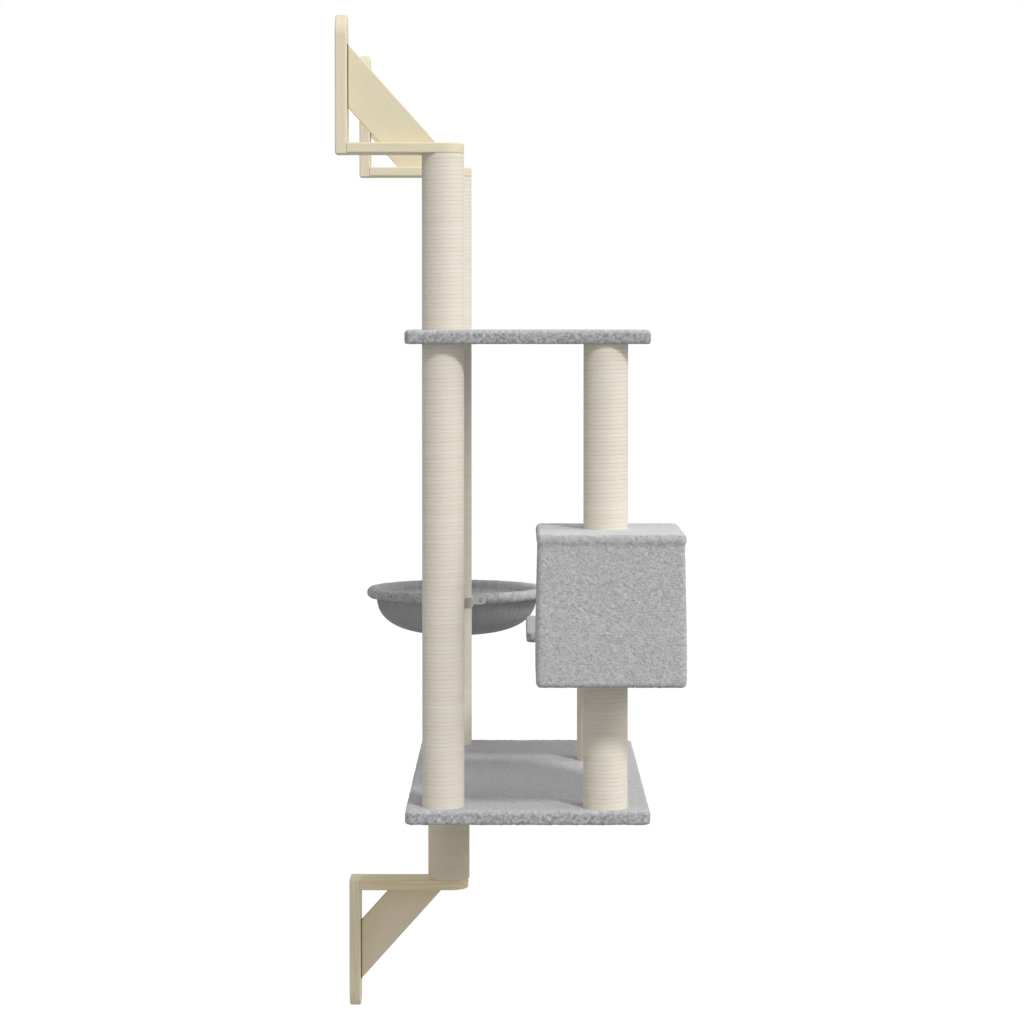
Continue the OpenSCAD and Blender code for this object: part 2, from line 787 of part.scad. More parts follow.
// Lining on the six inner faces of the house
module house_lining() {
    lining_x = cabin_x - 2 * plush_gap;
    lining_y = cabin_y - 2 * plush_gap;
    lining_h = cabin_h - 2 * plush_gap;
    color(plush_colour)
        difference() {
            at_house() difference() {
                translate([0, 0, house_wall - lining_t]) block(lining_x, lining_y, lining_h);
                translate([0, 0, house_wall])
                    block(lining_x - 2 * lining_t, lining_y - 2 * lining_t, lining_h - 2 * lining_t);
                entrance_cutter(entrance_d / 2);
            }
            bolt_holes(house_seats);
        }
}

module house_screws() {
    color(steel_colour) at_house() house_screw_places() wood_screw(house_screw_len);
}

// Bolt along +Z whose washer lies on z = 0: a button head with a hexagon socket
module post_bolt(grip) {
    bolt_r = bolt_d / 2;
    socket_w = bolt_head_d * socket_share;
    dome_r = bolt_head_d * dome_share;
    translate([0, 0, -washer_t]) cylinder(r = bolt_r, h = washer_t + grip + bolt_bite);
    difference() {
        intersection() {
            translate([0, 0, -head_sink]) cylinder(d = bolt_head_d, h = bolt_head_h);
            translate([0, 0, dome_r - head_sink]) sphere(r = dome_r);
        }
        translate([0, 0, -head_sink - cut])
            cylinder(d = socket_w, h = bolt_head_h / 2 + cut, $fn = 6);
    }
}

module at_post_bolts() {
    at_seats(concat(base_seats, upper_seats, step_seats, house_seats)) children();
    at_brackets() at_seats([arm_seat]) children();
}

module post_bolts() {
    color(steel_colour) at_post_bolts() post_bolt($grip);
}

module post_washers() {
    color(steel_colour)
        at_post_bolts()
            translate([0, 0, -washer_t]) ring_wall(washer_d / 2, bolt_d / 2 + bolt_clear, washer_t);
}

// Studs that join the lower and upper rear posts through the upper platform
module platform_studs() {
    color(steel_colour)
        for (side = [-1, 1])
            translate([wall_to_post, side * rear_y, upper_bottom - bolt_bite])
                cylinder(d = bolt_d, h = platform_t + 2 * bolt_bite);
}

// The bowl's own frame stands on the post's axis with the bowl's middle along +Y
module at_bowl() {
    translate(bowl_axis) rotate([0, 0, -bowl_turn]) children();
}

module at_strap_bolts() {
    for (side = [-1, 1])
        translate([0, bowl_reach, 0]) rotate([0, 0, side * tab_angle])
            translate([0, -bowl_d / 2, 0]) rotate([-90, 0, 0]) children();
}

module strap_bolt_hole() {
    translate([0, 0, -rim_d]) cylinder(r = strap_bolt_d / 2 + bolt_clear, h = 3 * rim_d);
}

module bowl_ring() {
    color(steel_colour)
        at_bowl() difference() {
            translate([0, bowl_reach, 0])
                rotate_extrude() translate([ring_r, 0]) circle(d = ring_d);
            at_strap_bolts() strap_bolt_hole();
        }
}

// Padded cover round the ring, open at the seam that holds the bowl's cloth
module bowl_rim_cover() {
    color(bowl_colour)
        at_bowl() difference() {
            translate([0, bowl_reach, 0])
                rotate_extrude()
                    translate([ring_r, 0])
                        difference() {
                            circle(d = rim_d);
                            circle(d = ring_d + 2 * ring_gap);
                            rotate(seam_angle) translate([0, -seam_w / 2]) square([rim_d, seam_w]);
                        }
            at_strap_bolts() strap_bolt_hole();
        }
}

// Radius of the bowl's profile of outer radius r and depth d at a height z below the rim
function bowl_profile(r, d, z) =
    r * pow(max(0, 1 - pow(z / d, bowl_fullness)), 1 / bowl_fullness);

module bowl_cloth() {
    inner_r = cloth_r - cloth_t;
    inner_depth = bowl_depth - cloth_t;
    start = cloth_top;
    color(bowl_colour)
        at_bowl() translate([0, bowl_reach, 0])
            rotate_extrude()
                polygon(concat(
                    [for (i = [0 : cloth_steps])
                        let (a = 90 * i / cloth_steps, z = start + (bowl_depth - start) * sin(a))
                        [i == cloth_steps ? 0 : bowl_profile(cloth_r, bowl_depth, z), -z]],
                    [for (i = [cloth_steps : -1 : 0])
                        let (a = 90 * i / cloth_steps, z = start + (inner_depth - start) * sin(a))
                        [i == cloth_steps ? 0 : bowl_profile(inner_r, inner_depth, z), -z]]
                ));
}

// Strap seen from above: half round the post, two legs, and a tab against the rim each side
module strap_outline() {
    difference() {
        circle(r = strap_r + strap_t / 2);
        circle(r = strap_r - strap_t / 2);
        translate([-2 * strap_r, 0]) square([4 * strap_r, 2 * strap_r]);
    }
    for (side = [-1, 1]) {
        translate([side * strap_r - strap_t / 2, 0]) square([strap_t, strap_leg]);
        translate([side * strap_r, strap_leg]) circle(d = strap_t);
        translate([side * strap_r, strap_leg]) rotate(side > 0 ? tab_angle : 180 - tab_angle)
            translate([0, -strap_t / 2]) square([2 * strap_h + strap_bolt_x - strap_r, strap_t]);
    }
}

module bowl_strap() {
    color(strap_colour)
        at_bowl() difference() {
            intersection() {
                linear_extrude(strap_h, center = true) strap_outline();
                rotate([90, 0, 0])
                    linear_extrude(4 * strap_r, center = true)
                        rounded_rect(2 * strap_bolt_x + strap_h, strap_h, (strap_h - least_flat) / 2);
            }
            at_strap_bolts() strap_bolt_hole();
        }
}

module bowl_bolts() {
    color(steel_colour)
        at_bowl() at_strap_bolts() {
            translate([0, 0, -strap_gap - strap_t])
                cylinder(d = strap_bolt_d, h = strap_gap + strap_t + rim_d + strap_nut_h);
            translate([0, 0, -strap_gap - strap_t - strap_head_h])
                cylinder(d1 = strap_head_d * strap_head_share, d2 = strap_head_d,
                    h = strap_head_h);
        }
}

module bowl_nuts() {
    color(steel_colour)
        at_bowl() at_strap_bolts()
            translate([0, 0, rim_d + ring_gap])
                difference() {
                    cylinder(d = strap_nut_d, h = strap_nut_h, $fn = 6);
                    translate([0, 0, -cut])
                        cylinder(r = strap_bolt_d / 2 + screw_clear, h = strap_nut_h + 2 * cut);
                }
}

upper_left_wall_plate();
upper_left_arm();
upper_left_brace();
upper_right_wall_plate();
upper_right_arm();
upper_right_brace();
lower_wall_plate();
lower_arm();
lower_brace();
bracket_screws();
bracket_dowels();
rear_left_lower_tube();
rear_left_lower_sisal();
rear_left_lower_plugs();
rear_left_upper_tube();
rear_left_upper_sisal();
rear_left_upper_plugs();
rear_right_lower_tube();
rear_right_lower_sisal();
rear_right_lower_plugs();
rear_right_upper_tube();
rear_right_upper_sisal();
rear_right_upper_plugs();
front_left_lower_tube();
front_left_lower_sisal();
front_left_lower_plugs();
front_left_upper_tube();
front_left_upper_sisal();
front_left_upper_plugs();
front_right_tube();
front_right_sisal();
front_right_plugs();
low_post_tube();
low_post_sisal();
low_post_plugs();
base_board();
base_plush();
upper_board();
upper_plush();
step_board();
step_plush();
house_roof_panel();
house_floor_panel();
house_front_panel();
house_rear_panel();
house_left_panel();
house_right_panel();
house_plush();
house_lining();
house_screws();
post_bolts();
post_washers();
platform_studs();
bowl_ring();
bowl_rim_cover();
bowl_cloth();
bowl_strap();
bowl_bolts();
bowl_nuts();
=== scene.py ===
# %% [markdown]
# # A wall mounted cat tree
# This notebook dresses a packed model of a cat tree that hangs on a wall. Timber brackets carry
# posts wound with sisal rope, and the posts carry platforms and a house covered in plush, a small
# step and a bowl of cloth. The model already holds every board, bolt and bracket at its real size,
# so each step here only adds a finish, or replaces a soft part by a fuller one in the same place.

# %% Load the packed model
import json
import math

import bpy
import numpy as np
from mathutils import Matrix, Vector


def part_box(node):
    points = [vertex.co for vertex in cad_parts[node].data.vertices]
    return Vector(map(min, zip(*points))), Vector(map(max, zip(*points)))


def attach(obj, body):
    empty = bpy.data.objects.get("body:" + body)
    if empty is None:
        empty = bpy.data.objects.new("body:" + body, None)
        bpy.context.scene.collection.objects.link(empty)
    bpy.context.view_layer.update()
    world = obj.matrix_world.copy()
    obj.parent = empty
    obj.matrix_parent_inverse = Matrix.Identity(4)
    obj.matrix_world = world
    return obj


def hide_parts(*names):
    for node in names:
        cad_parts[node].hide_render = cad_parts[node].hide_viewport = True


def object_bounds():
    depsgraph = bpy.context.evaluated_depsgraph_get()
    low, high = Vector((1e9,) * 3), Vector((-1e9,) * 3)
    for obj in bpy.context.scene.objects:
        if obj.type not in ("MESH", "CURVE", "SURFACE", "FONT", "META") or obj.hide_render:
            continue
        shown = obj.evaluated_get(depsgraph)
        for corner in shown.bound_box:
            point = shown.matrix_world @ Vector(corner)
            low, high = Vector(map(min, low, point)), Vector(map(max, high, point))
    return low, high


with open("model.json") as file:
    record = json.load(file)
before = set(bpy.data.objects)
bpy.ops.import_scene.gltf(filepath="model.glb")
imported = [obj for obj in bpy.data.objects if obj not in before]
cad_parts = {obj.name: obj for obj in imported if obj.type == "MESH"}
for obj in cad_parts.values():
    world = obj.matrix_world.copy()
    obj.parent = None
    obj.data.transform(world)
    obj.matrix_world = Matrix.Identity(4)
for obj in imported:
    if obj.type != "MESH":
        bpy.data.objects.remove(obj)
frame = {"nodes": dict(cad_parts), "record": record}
cad_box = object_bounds()
ROOT = "root"
print("nodes:", len(frame["nodes"]), "box:", [round(v, 3) for corner in cad_box for v in corner])

# %% [markdown]
# ## Camera
# The photograph is taken level, square to the side of the tree, from about six metres away, and its
# frame reaches much further down than up. A lens that is only shifted would copy that, but the
# shift stays when the camera goes round to the other sides, and would push the tree out of their
# frames. So a small shift is joined by a small tilt, and distance and lens were fitted again to
# keep every corner of the tree within two pixels of its place.

# %% Place the camera
EYE = (0.3481, -6.2201, 1.2631)
LENS_MM = 107.26
SHIFT_SHARE = -0.08
TILT_DEGREES = 1.913
TURN_DEGREES = 0.154

camera_data = bpy.data.cameras.new("camera")
camera_data.lens = LENS_MM
camera_data.shift_y = SHIFT_SHARE
camera = bpy.data.objects.new("camera", camera_data)
bpy.context.collection.objects.link(camera)
camera.location = EYE
camera.rotation_euler = (math.radians(90 - TILT_DEGREES), 0, math.radians(TURN_DEGREES))
bpy.context.scene.camera = camera
print("camera at", EYE, "with a", LENS_MM, "mm lens")

# %% [markdown]
# ## Shader maths as Python
# A finish is a sum of patterns: grain, loops, fibres and, in places, painted shade. Written with
# raw nodes each sum takes many lines, so a small class wraps a socket and lets patterns be added,
# multiplied and subtracted like numbers. Each operator adds one Math node.

# %% A socket that takes part in expressions
class Wire:
    """A value that flows through a finish. Arithmetic on it adds Math nodes."""

    def __init__(self, graph, socket):
        self.graph = graph
        self.socket = socket

    def join(self, operation, *inputs):
        return self.graph.node("ShaderNodeMath", {"operation": operation}, dict(enumerate(inputs)))

    def __add__(self, other):
        return self.join("ADD", self, other)

    def __radd__(self, other):
        return self.join("ADD", other, self)

    def __sub__(self, other):
        return self.join("SUBTRACT", self, other)

    def __rsub__(self, other):
        return self.join("SUBTRACT", other, self)

    def __mul__(self, other):
        return self.join("MULTIPLY", self, other)

    def __rmul__(self, other):
        return self.join("MULTIPLY", other, self)

    def __pow__(self, other):
        return self.join("POWER", self, other)

    def larger(self, other):
        return self.join("MAXIMUM", self, other)

    def size(self):
        """How far the value lies from zero."""
        return self.join("ABSOLUTE", self)

    def sine(self):
        return self.join("SINE", self)

    def held(self):
        """The same value, kept between 0 and 1."""
        return self.graph.node("ShaderNodeClamp", {}, {"Value": self})


print("a socket takes part in sums now")

# %% [markdown]
# Every other node comes from one method. It takes the node's type, then its settings, because some
# of them change which sockets the node has, and then the values or links of its sockets.

# %% A graph that adds nodes
class Graph:
    """The nodes of a material or of the sky."""

    def __init__(self, tree):
        self.tree = tree

    def node(self, kind, settings, inputs, output=0):
        """Adds a node, sets it up, feeds its sockets and returns one of its outputs."""
        made = self.tree.nodes.new(kind)
        for key, value in settings.items():
            setattr(made, key, value)
        for key, value in inputs.items():
            if isinstance(value, Wire):
                self.tree.links.new(value.socket, made.inputs[key])
            else:
                made.inputs[key].default_value = value
        return Wire(self, made.outputs[output] if len(made.outputs) else None)

    def seen_directly(self):
        """1 for what the camera sees, straight or in a mirror or glass, and 0 for lighting."""
        kinds = ("Is Camera Ray", "Is Glossy Ray", "Is Transmission Ray")
        camera_ray, glossy, through = [self.node("ShaderNodeLightPath", {}, {}, k) for k in kinds]
        return camera_ray.larger(glossy.larger(through))


print("one method adds every other node")

# %% [markdown]
# A finish is such a graph with a Principled shader at its end. Numbers that are the same all over
# are set on the shader itself. Patterns are placed in metres in the tree's own frame, so a scale of
# 200 gives lumps of about 5 mm. A Mix node keeps sockets for every kind of value, so the ones for
# colours are picked by their numbers.

# %% A finish
class Finish(Graph):
    """A material under construction, with its shader and its patterns."""

    COLOR_A, COLOR_B, COLOR_RESULT = 6, 7, 2

    def __init__(self, name, **constants):
        self.material = bpy.data.materials.new(name)
        self.material.use_nodes = True
        super().__init__(self.material.node_tree)
        self.shader = self.tree.nodes["Principled BSDF"]
        for socket, value in constants.items():
            self.shader.inputs[socket.replace("_", " ")].default_value = value

    def place(self):
        """Where a point of the piece is, in metres in the tree's own frame."""
        return self.node("ShaderNodeTexCoord", {}, {}, "Object")

    def stretched(self, place, turned=(0.0, 0.0, 0.0), scale=(1.0, 1.0, 1.0)):
        return self.node("ShaderNodeMapping", {"vector_type": "POINT"},
                         {"Vector": place, "Rotation": turned, "Scale": scale})

    def cloud(self, place, scale, detail=3.0, rough=0.5):
        return self.node("ShaderNodeTexNoise", {},
                         {"Vector": place, "Scale": scale, "Detail": detail, "Roughness": rough})

    def grain(self, along, lengthwise, across, detail, rough=0.5):
        """Noise drawn out along a board, with so many lumps to the metre each way."""
        drawn_out = self.stretched(along, scale=(lengthwise, across, across))
        return self.cloud(drawn_out, 1.0, detail, rough)

    def cells(self, place, scale):
        return self.node("ShaderNodeTexVoronoi", {}, {"Vector": place, "Scale": scale})

    def painted(self, name):
        """A number that the mesh carries at each point."""
        return self.node("ShaderNodeAttribute", {"attribute_name": name}, {}, "Fac")

    def spread(self, value, low, high):
        """Stretches the part of a pattern from low to high to the range 0 to 1."""
        return self.node("ShaderNodeMapRange", {},
                         {"Value": value, "From Min": low, "From Max": high})

    def blend(self, share, first, second):
        """A colour between two colours."""
        return self.node("ShaderNodeMix", {"data_type": "RGBA"},
                         {0: share, self.COLOR_A: first, self.COLOR_B: second}, self.COLOR_RESULT)

    def wear(self, color, rough, height, depth):
        """Feeds the shader its colour, its roughness where that varies, and its relief."""
        self.tree.links.new(color.socket, self.shader.inputs["Base Color"])
        if rough is not None:
            self.tree.links.new(rough.socket, self.shader.inputs["Roughness"])
        bump = self.node("ShaderNodeBump", {}, {"Height": height, "Distance": depth})
        self.tree.links.new(bump.socket, self.shader.inputs["Normal"])
        return self.material


print("a finish can:", [name for name in vars(Finish) if name.islower() and "_" not in name])

# %% Colours as a screen shows them
def tone(red, green, blue):
    """A colour from 0 to 255, turned into light by the screen's curve."""
    light = [(v / 255 / 12.92) if v <= 10 else ((v / 255 + 0.055) / 1.055) ** 2.4
             for v in (red, green, blue)]
    return (*light, 1.0)


print("a grey of 171 in light:", round(tone(171, 171, 171)[0], 3))

# %% [markdown]
# ## Light
# The shadows in the photograph tell where its lamps stand. The house throws a shadow to the left
# and back over the base, about as far as the house is high, so the key lamp stands in front, to the
# right, at a little over 40 degrees. That shadow has a narrow soft edge, so the lamp is 9 degrees
# wide. The posts are brightest on their right, where a wide second lamp fills in. The rest comes
# from all round: a bright sky, and the pale floor that sends light back up. Sun lamps are used for
# both lamps, because they light the top and the foot of a tall object alike. The camera sees plain
# white behind the tree, through a mix that adds no light to the object.

# %% Sky and lamps
KEY_FROM, KEY_DEGREES, KEY_LEVEL = (0.54, -0.95, 1.0), 9, 0.57
RIGHT_FROM, RIGHT_DEGREES, RIGHT_LEVEL = (0.80, -0.15, 0.52), 40, 0.27
SKY_LEVEL = 0.59
WHITE = (1.0, 1.0, 1.0, 1.0)


def sun_lamp(name, from_side, width_degrees, level):
    """A lamp far away in a direction. A white board that faces it has the brightness level."""
    data = bpy.data.lights.new(name, "SUN")
    data.energy = level * math.pi
    data.angle = math.radians(width_degrees)
    lamp = bpy.data.objects.new(name, data)
    bpy.context.collection.objects.link(lamp)
    lamp.rotation_euler = Vector(from_side).to_track_quat("Z", "Y").to_euler()


sun_lamp("key_lamp", KEY_FROM, KEY_DEGREES, KEY_LEVEL)
sun_lamp("right_lamp", RIGHT_FROM, RIGHT_DEGREES, RIGHT_LEVEL)

world = bpy.data.worlds.new("sky")
bpy.context.scene.world = world
world.use_nodes = True
world.node_tree.nodes.clear()
sky = Graph(world.node_tree)
sky_light = sky.node("ShaderNodeBackground", {}, {"Color": WHITE, "Strength": SKY_LEVEL})
sky_seen = sky.node("ShaderNodeBackground", {}, {"Color": WHITE, "Strength": 1.0})
sky_mix = sky.node("ShaderNodeMixShader", {}, {0: sky.seen_directly(), 1: sky_light, 2: sky_seen})
sky.node("ShaderNodeOutputWorld", {}, {"Surface": sky_mix})
bpy.context.scene.view_settings.view_transform = "Standard"
print("lamps:", [lamp.name for lamp in bpy.data.lights], "sky:", SKY_LEVEL)

# %% [markdown]
# ## Pine
# The brackets are planed pine: pale, almost without gloss, with long soft growth lines and fine
# pores. Growth lines are shells round the tree's heart, so the pattern is the distance from a heart
# line that runs beside the board, bent by slow noise. Each kind of board gets its own tone, and the
# lower bracket has the livelier figure; its paler tones are painted light against the shade under
# the base. Painted shade darkens the seam where braces meet their plate, and a trace of it lies
# behind the upper arms.

# %% Pine finish
HEART_OFFSET = (0.0, 0.11, 0.085)
HEART_DRIFT = 0.09
RING_WAVE = 620.0
RING_BEND = 34.0
PALER, DEEPER = (2, 2, 4), (-4, -4, -6)
LATE_TONE, LATE_SHARE = (200, 179, 136), 0.16
STREAK_TONE, STREAK_SHARE = (194, 174, 134), 0.14
PLATE_THICKNESS = 0.022
SEAM_WIDTH = 0.0030
SEAM_CORE = SEAM_WIDTH * 0.4
SEAM_SHADE_TONE = (84, 74, 54)


def pine(name, turned, phase, wood, figure=1.0, seam_shade=0.0):
    """Planed pine in the tone wood, with a stronger or fainter figure and painted shade in its
    seam.
    """
    finish = Finish(name, Specular_IOR_Level=0.14, Coat_Weight=0.02, Coat_Roughness=0.4)
    place = finish.place()
    along = finish.stretched(place, turned)
    slow = finish.grain(along, 3.5, 13.0, detail=3.0)
    slim = finish.stretched(along, scale=(HEART_DRIFT, 1.0, 1.0))
    shifted = finish.node("ShaderNodeVectorMath", {"operation": "ADD"}, {0: slim, 1: HEART_OFFSET})
    reach = finish.node("ShaderNodeVectorMath", {"operation": "LENGTH"}, {0: shifted}, "Value")
    rings = (reach * RING_WAVE + slow * RING_BEND + phase).sine() * 0.5 + 0.5
    faint = finish.spread(finish.grain(along, 4.0, 24.0, detail=2.0), 0.42, 0.72)
    late = rings ** 2.0 * faint
    streak = finish.grain(along, 9.0, 260.0, detail=4.0, rough=0.6)
    pores = finish.grain(along, 70.0, 1700.0, detail=2.0, rough=0.7)
    patch = finish.grain(along, 4.0, 17.0, detail=2.0)
    light, deep = [tone(*np.add(wood, change).tolist()) for change in (PALER, DEEPER)]
    pale = finish.blend(finish.spread(patch, 0.3, 0.7), light, deep)
    grained = finish.blend(late * (LATE_SHARE * figure), pale, tone(*LATE_TONE))
    fine = finish.spread(streak, 0.45, 0.8) * (STREAK_SHARE * figure)
    color = finish.blend(fine, grained, tone(*STREAK_TONE))
    # Painted shade: the colour darkens in the seam beside the plate's face.
    if seam_shade:
        out = finish.node("ShaderNodeSeparateXYZ", {}, {"Vector": place}, "X")
        seam = finish.spread(out - PLATE_THICKNESS, SEAM_WIDTH, SEAM_CORE)
        color = finish.blend(seam * seam_shade, color, tone(*SEAM_SHADE_TONE))
    rough = 0.48 + streak * 0.14 + late * 0.04
    height = streak * 0.4 + pores * 0.3 + late * 0.4
    return finish.wear(color, rough, height, depth=0.00018)


print("growth lines", round(2 * math.pi / RING_WAVE * 1000, 1), "mm apart")

# %% [markdown]
# Each board needs its lines along its own length, so the same recipe is turned to suit plates, arms
# and braces. A different phase starts each pattern at another place in the tree.

# %% Pine for each kind of board
QUARTER = math.pi / 2
BRACE_RISE_MM, BRACE_REACH_MM = 188.0, 169.0
BRACE_SLOPE = math.atan2(BRACE_RISE_MM, BRACE_REACH_MM)
UPRIGHT, LEVEL = (0.0, QUARTER, 0.0), (0.0, 0.0, 0.0)
DOWNHILL, UPHILL = (0.0, -BRACE_SLOPE, 0.0), (0.0, BRACE_SLOPE, 0.0)
pines = {
    "upper wall_plate": pine("pine_plate_upper", UPRIGHT, 0.4, (223, 212, 188), figure=1.5),
    "upper arm": pine("pine_arm_upper", LEVEL, 1.9, (223, 213, 186), figure=1.2, seam_shade=0.05),
    "upper brace": pine("pine_brace_upper", DOWNHILL, 3.1, (221, 212, 184), figure=0.6, seam_shade=1.0),
    # Painted light: the lower bracket's boards get paler tones, standing in for light in their
    # shade under the base.
    "lower wall_plate": pine("pine_plate_lower", UPRIGHT, 2.2, (244, 232, 202), figure=3.0),
    "lower arm": pine("pine_arm_lower", LEVEL, 0.7, (240, 225, 187), figure=3.2),
    "lower brace": pine("pine_brace_lower", UPHILL, 4.4, (231, 219, 193), figure=0.9, seam_shade=1.0),
}
print("pine finishes:", [made.name for made in pines.values()])

# %% [markdown]
# ## Hidden boards, cardboard and turned plugs
# Under the plush lie particle boards, and inside the rope stand cardboard tubes with turned plugs.
# They hardly show, but someone who takes the tree apart will see them, so each has its own finish:
# pressed chips, a spiral seam, and lathe rings.

# %% Hidden finishes
def chipboard():
    finish = Finish("chipboard", Specular_IOR_Level=0.2)
    place = finish.place()
    chips = finish.cells(finish.stretched(place, scale=(1.0, 0.5, 1.4)), scale=190.0)
    dust = finish.cloud(place, scale=420.0, detail=4.0, rough=0.7)
    share = finish.spread(chips + dust * 0.5, 0.3, 1.1)
    color = finish.blend(share, tone(206, 178, 138), tone(152, 116, 78))
    return finish.wear(color, 0.75 + dust * 0.15, chips * 0.6 + dust, depth=0.0004)


def cardboard():
    finish = Finish("cardboard", Specular_IOR_Level=0.15)
    place = finish.place()
    squashed = finish.stretched(place, scale=(1.0, 1.0, 0.4))
    pulp = finish.cloud(squashed, scale=300.0, detail=4.0, rough=0.65)
    height = finish.node("ShaderNodeSeparateXYZ", {}, {"Vector": place}, "Z")
    seam = finish.spread((height * 52.0).sine(), 0.96, 1.0)
    color = finish.blend(pulp, tone(176, 144, 104), tone(146, 114, 78))
    color = finish.blend(seam * 0.5, color, tone(110, 84, 56))
    return finish.wear(color, 0.8 + pulp * 0.1, pulp - seam * 0.4, depth=0.0003)


def turned_plug():
    finish = Finish("turned_plug", Specular_IOR_Level=0.25)
    place = finish.place()
    grain = finish.grain(place, 18.0, 190.0, detail=3.0)
    lathe = finish.cloud(finish.stretched(place, scale=(2.0, 2.0, 900.0)), 1.0, detail=1.0)
    color = finish.blend(grain, tone(214, 190, 148), tone(188, 158, 114))
    return finish.wear(color, 0.6 + grain * 0.1, lathe + grain, depth=0.0002)


hidden = {"board": chipboard(), "cardboard": cardboard(), "plug": turned_plug()}
print("hidden finishes:", sorted(hidden))

# %% [markdown]
# ## Steel
# The bolts, washers, studs and screws are zinc plated: a grey metal with a faint crystal pattern
# and fine scratches that break up its gloss. The strap that holds the bowl is painted grey, so it
# is no bare metal: its gloss comes from a thin, slightly orange-peeled coat. Round the post the
# strap is darker and browner, up to a ragged edge.

# %% Metal finishes
STRAP_MIDDLE = 0.202
BROWN_REACH, BROWN_CORE, BROWN_RAGGED = 0.050, 0.042, 0.008


def zinc():
    finish = Finish("zinc_plate", Metallic=1.0)
    place = finish.place()
    crystals = finish.cells(place, scale=260.0)
    fine = finish.stretched(place, scale=(90.0, 1400.0, 500.0))
    scratches = finish.cloud(fine, 1.0, detail=3.0, rough=0.7)
    color = finish.blend(crystals, tone(198, 201, 205), tone(168, 171, 176))
    return finish.wear(color, 0.26 + scratches * 0.22, scratches, depth=0.00008)


def painted_strap():
    finish = Finish("painted_strap", Specular_IOR_Level=0.5, Coat_Weight=0.25, Coat_Roughness=0.25)
    place = finish.place()
    peel = finish.cloud(place, scale=700.0, detail=2.0)
    dust = finish.cloud(place, scale=60.0, detail=4.0, rough=0.6)
    paint_tone = finish.blend(finish.spread(dust, 0.35, 0.7), tone(200, 202, 201), tone(184, 187, 185))
    out = finish.node("ShaderNodeSeparateXYZ", {}, {"Vector": place}, "X")
    # Darker and browner round the post, up to a ragged edge.
    away = (out - STRAP_MIDDLE).size() + dust * BROWN_RAGGED
    browned = finish.spread(away, BROWN_REACH, BROWN_CORE)
    color = finish.blend(browned * 0.9, paint_tone, tone(148, 136, 122))
    return finish.wear(color, 0.38 + dust * 0.16, peel, depth=0.0001)


metals = {"steel": zinc(), "strap": painted_strap()}
print("metal finishes:", sorted(metals))

# %% [markdown]
# ## Plush
# The plush is a short looped pile, so its surface is a tangle of fine pale worms with dark between
# them. A smooth noise gives them: wherever it passes through its middle value a thin winding line
# appears. The mesh carries a slower relief as a number, which shades whole tufts and also holds
# painted light and shade on the tops and sides of platforms and house, and a fine noise adds the
# fibres. The sheen is kept low, so that the shadows on the platforms stay as deep as they are in
# the photograph.

# %% Plush finish
BEND_SCALE, BEND_REACH = 110.0, 0.006
WORM_SCALE, WORM_SHARPNESS = 165.0, 7.0
CURL_SHARE, WORM_SHARE, FIBRE_SHARE, GAP_SHADE = 0.32, 0.22, 0.5, 0.01


def plush(name, bright, dark):
    finish = Finish(name, Roughness=0.95, Specular_IOR_Level=0.1, Sheen_Weight=0.35,
                    Sheen_Roughness=0.3)
    place = finish.place()
    # This number holds the tufts' shade and, on platforms and house, painted light and shade.
    curl = finish.painted("curl")
    fibre = finish.cloud(place, scale=900.0, detail=3.0, rough=0.7)
    bent = finish.node("ShaderNodeTexNoise", {}, {"Vector": place, "Scale": BEND_SCALE}, "Color")
    wavy = finish.node("ShaderNodeVectorMath", {"operation": "SCALE"},
                       {0: bent, "Scale": BEND_REACH})
    moved = finish.node("ShaderNodeVectorMath", {}, {0: place, 1: wavy})
    from_middle = (finish.cloud(moved, WORM_SCALE, detail=2.0) - 0.5).size()
    worms = (1.0 - from_middle * WORM_SHARPNESS).larger(0.0)
    light = (curl * CURL_SHARE + worms * WORM_SHARE + fibre * FIBRE_SHARE - GAP_SHADE).held()
    color = finish.blend(light, dark, bright)
    return finish.wear(color, None, fibre * 0.4 + worms, depth=0.0007)


plush_cover = plush("grey_plush", tone(214, 214, 215), tone(134, 134, 136))
plush_rim = plush("rim_plush", tone(206, 206, 206), tone(130, 130, 131))
print("plush finishes:", plush_cover.name, plush_rim.name)

# %% [markdown]
# ## Sisal
# Sisal rope is laid from three strands of pale, stiff fibre. The rope itself is a real helix of
# mesh. Its mesh carries three numbers: how far along the rope a point is, how far round it, and how
# deep in the groove between two turns. From those the finish draws the strands as slanted waves,
# the fibres as long thin noise, and painted shade in the grooves. The rope's tone also changes
# slowly along its length. The low post stands in shade, and its yellower tone is painted light,
# standing in for warm light bounced onto it.

# %% Sisal finish
LAY_LENGTH = 0.030
STRANDS = 3.0
FIBRE_TONE, FIBRE_DEPTH = (202, 192, 168), 0.20
LAY_TONE, LAY_DEPTH = (178, 163, 134), 0.05
GROOVE_SHADE_TONE, GROOVE_SHADE_SHARE = (164, 150, 124), 0.06


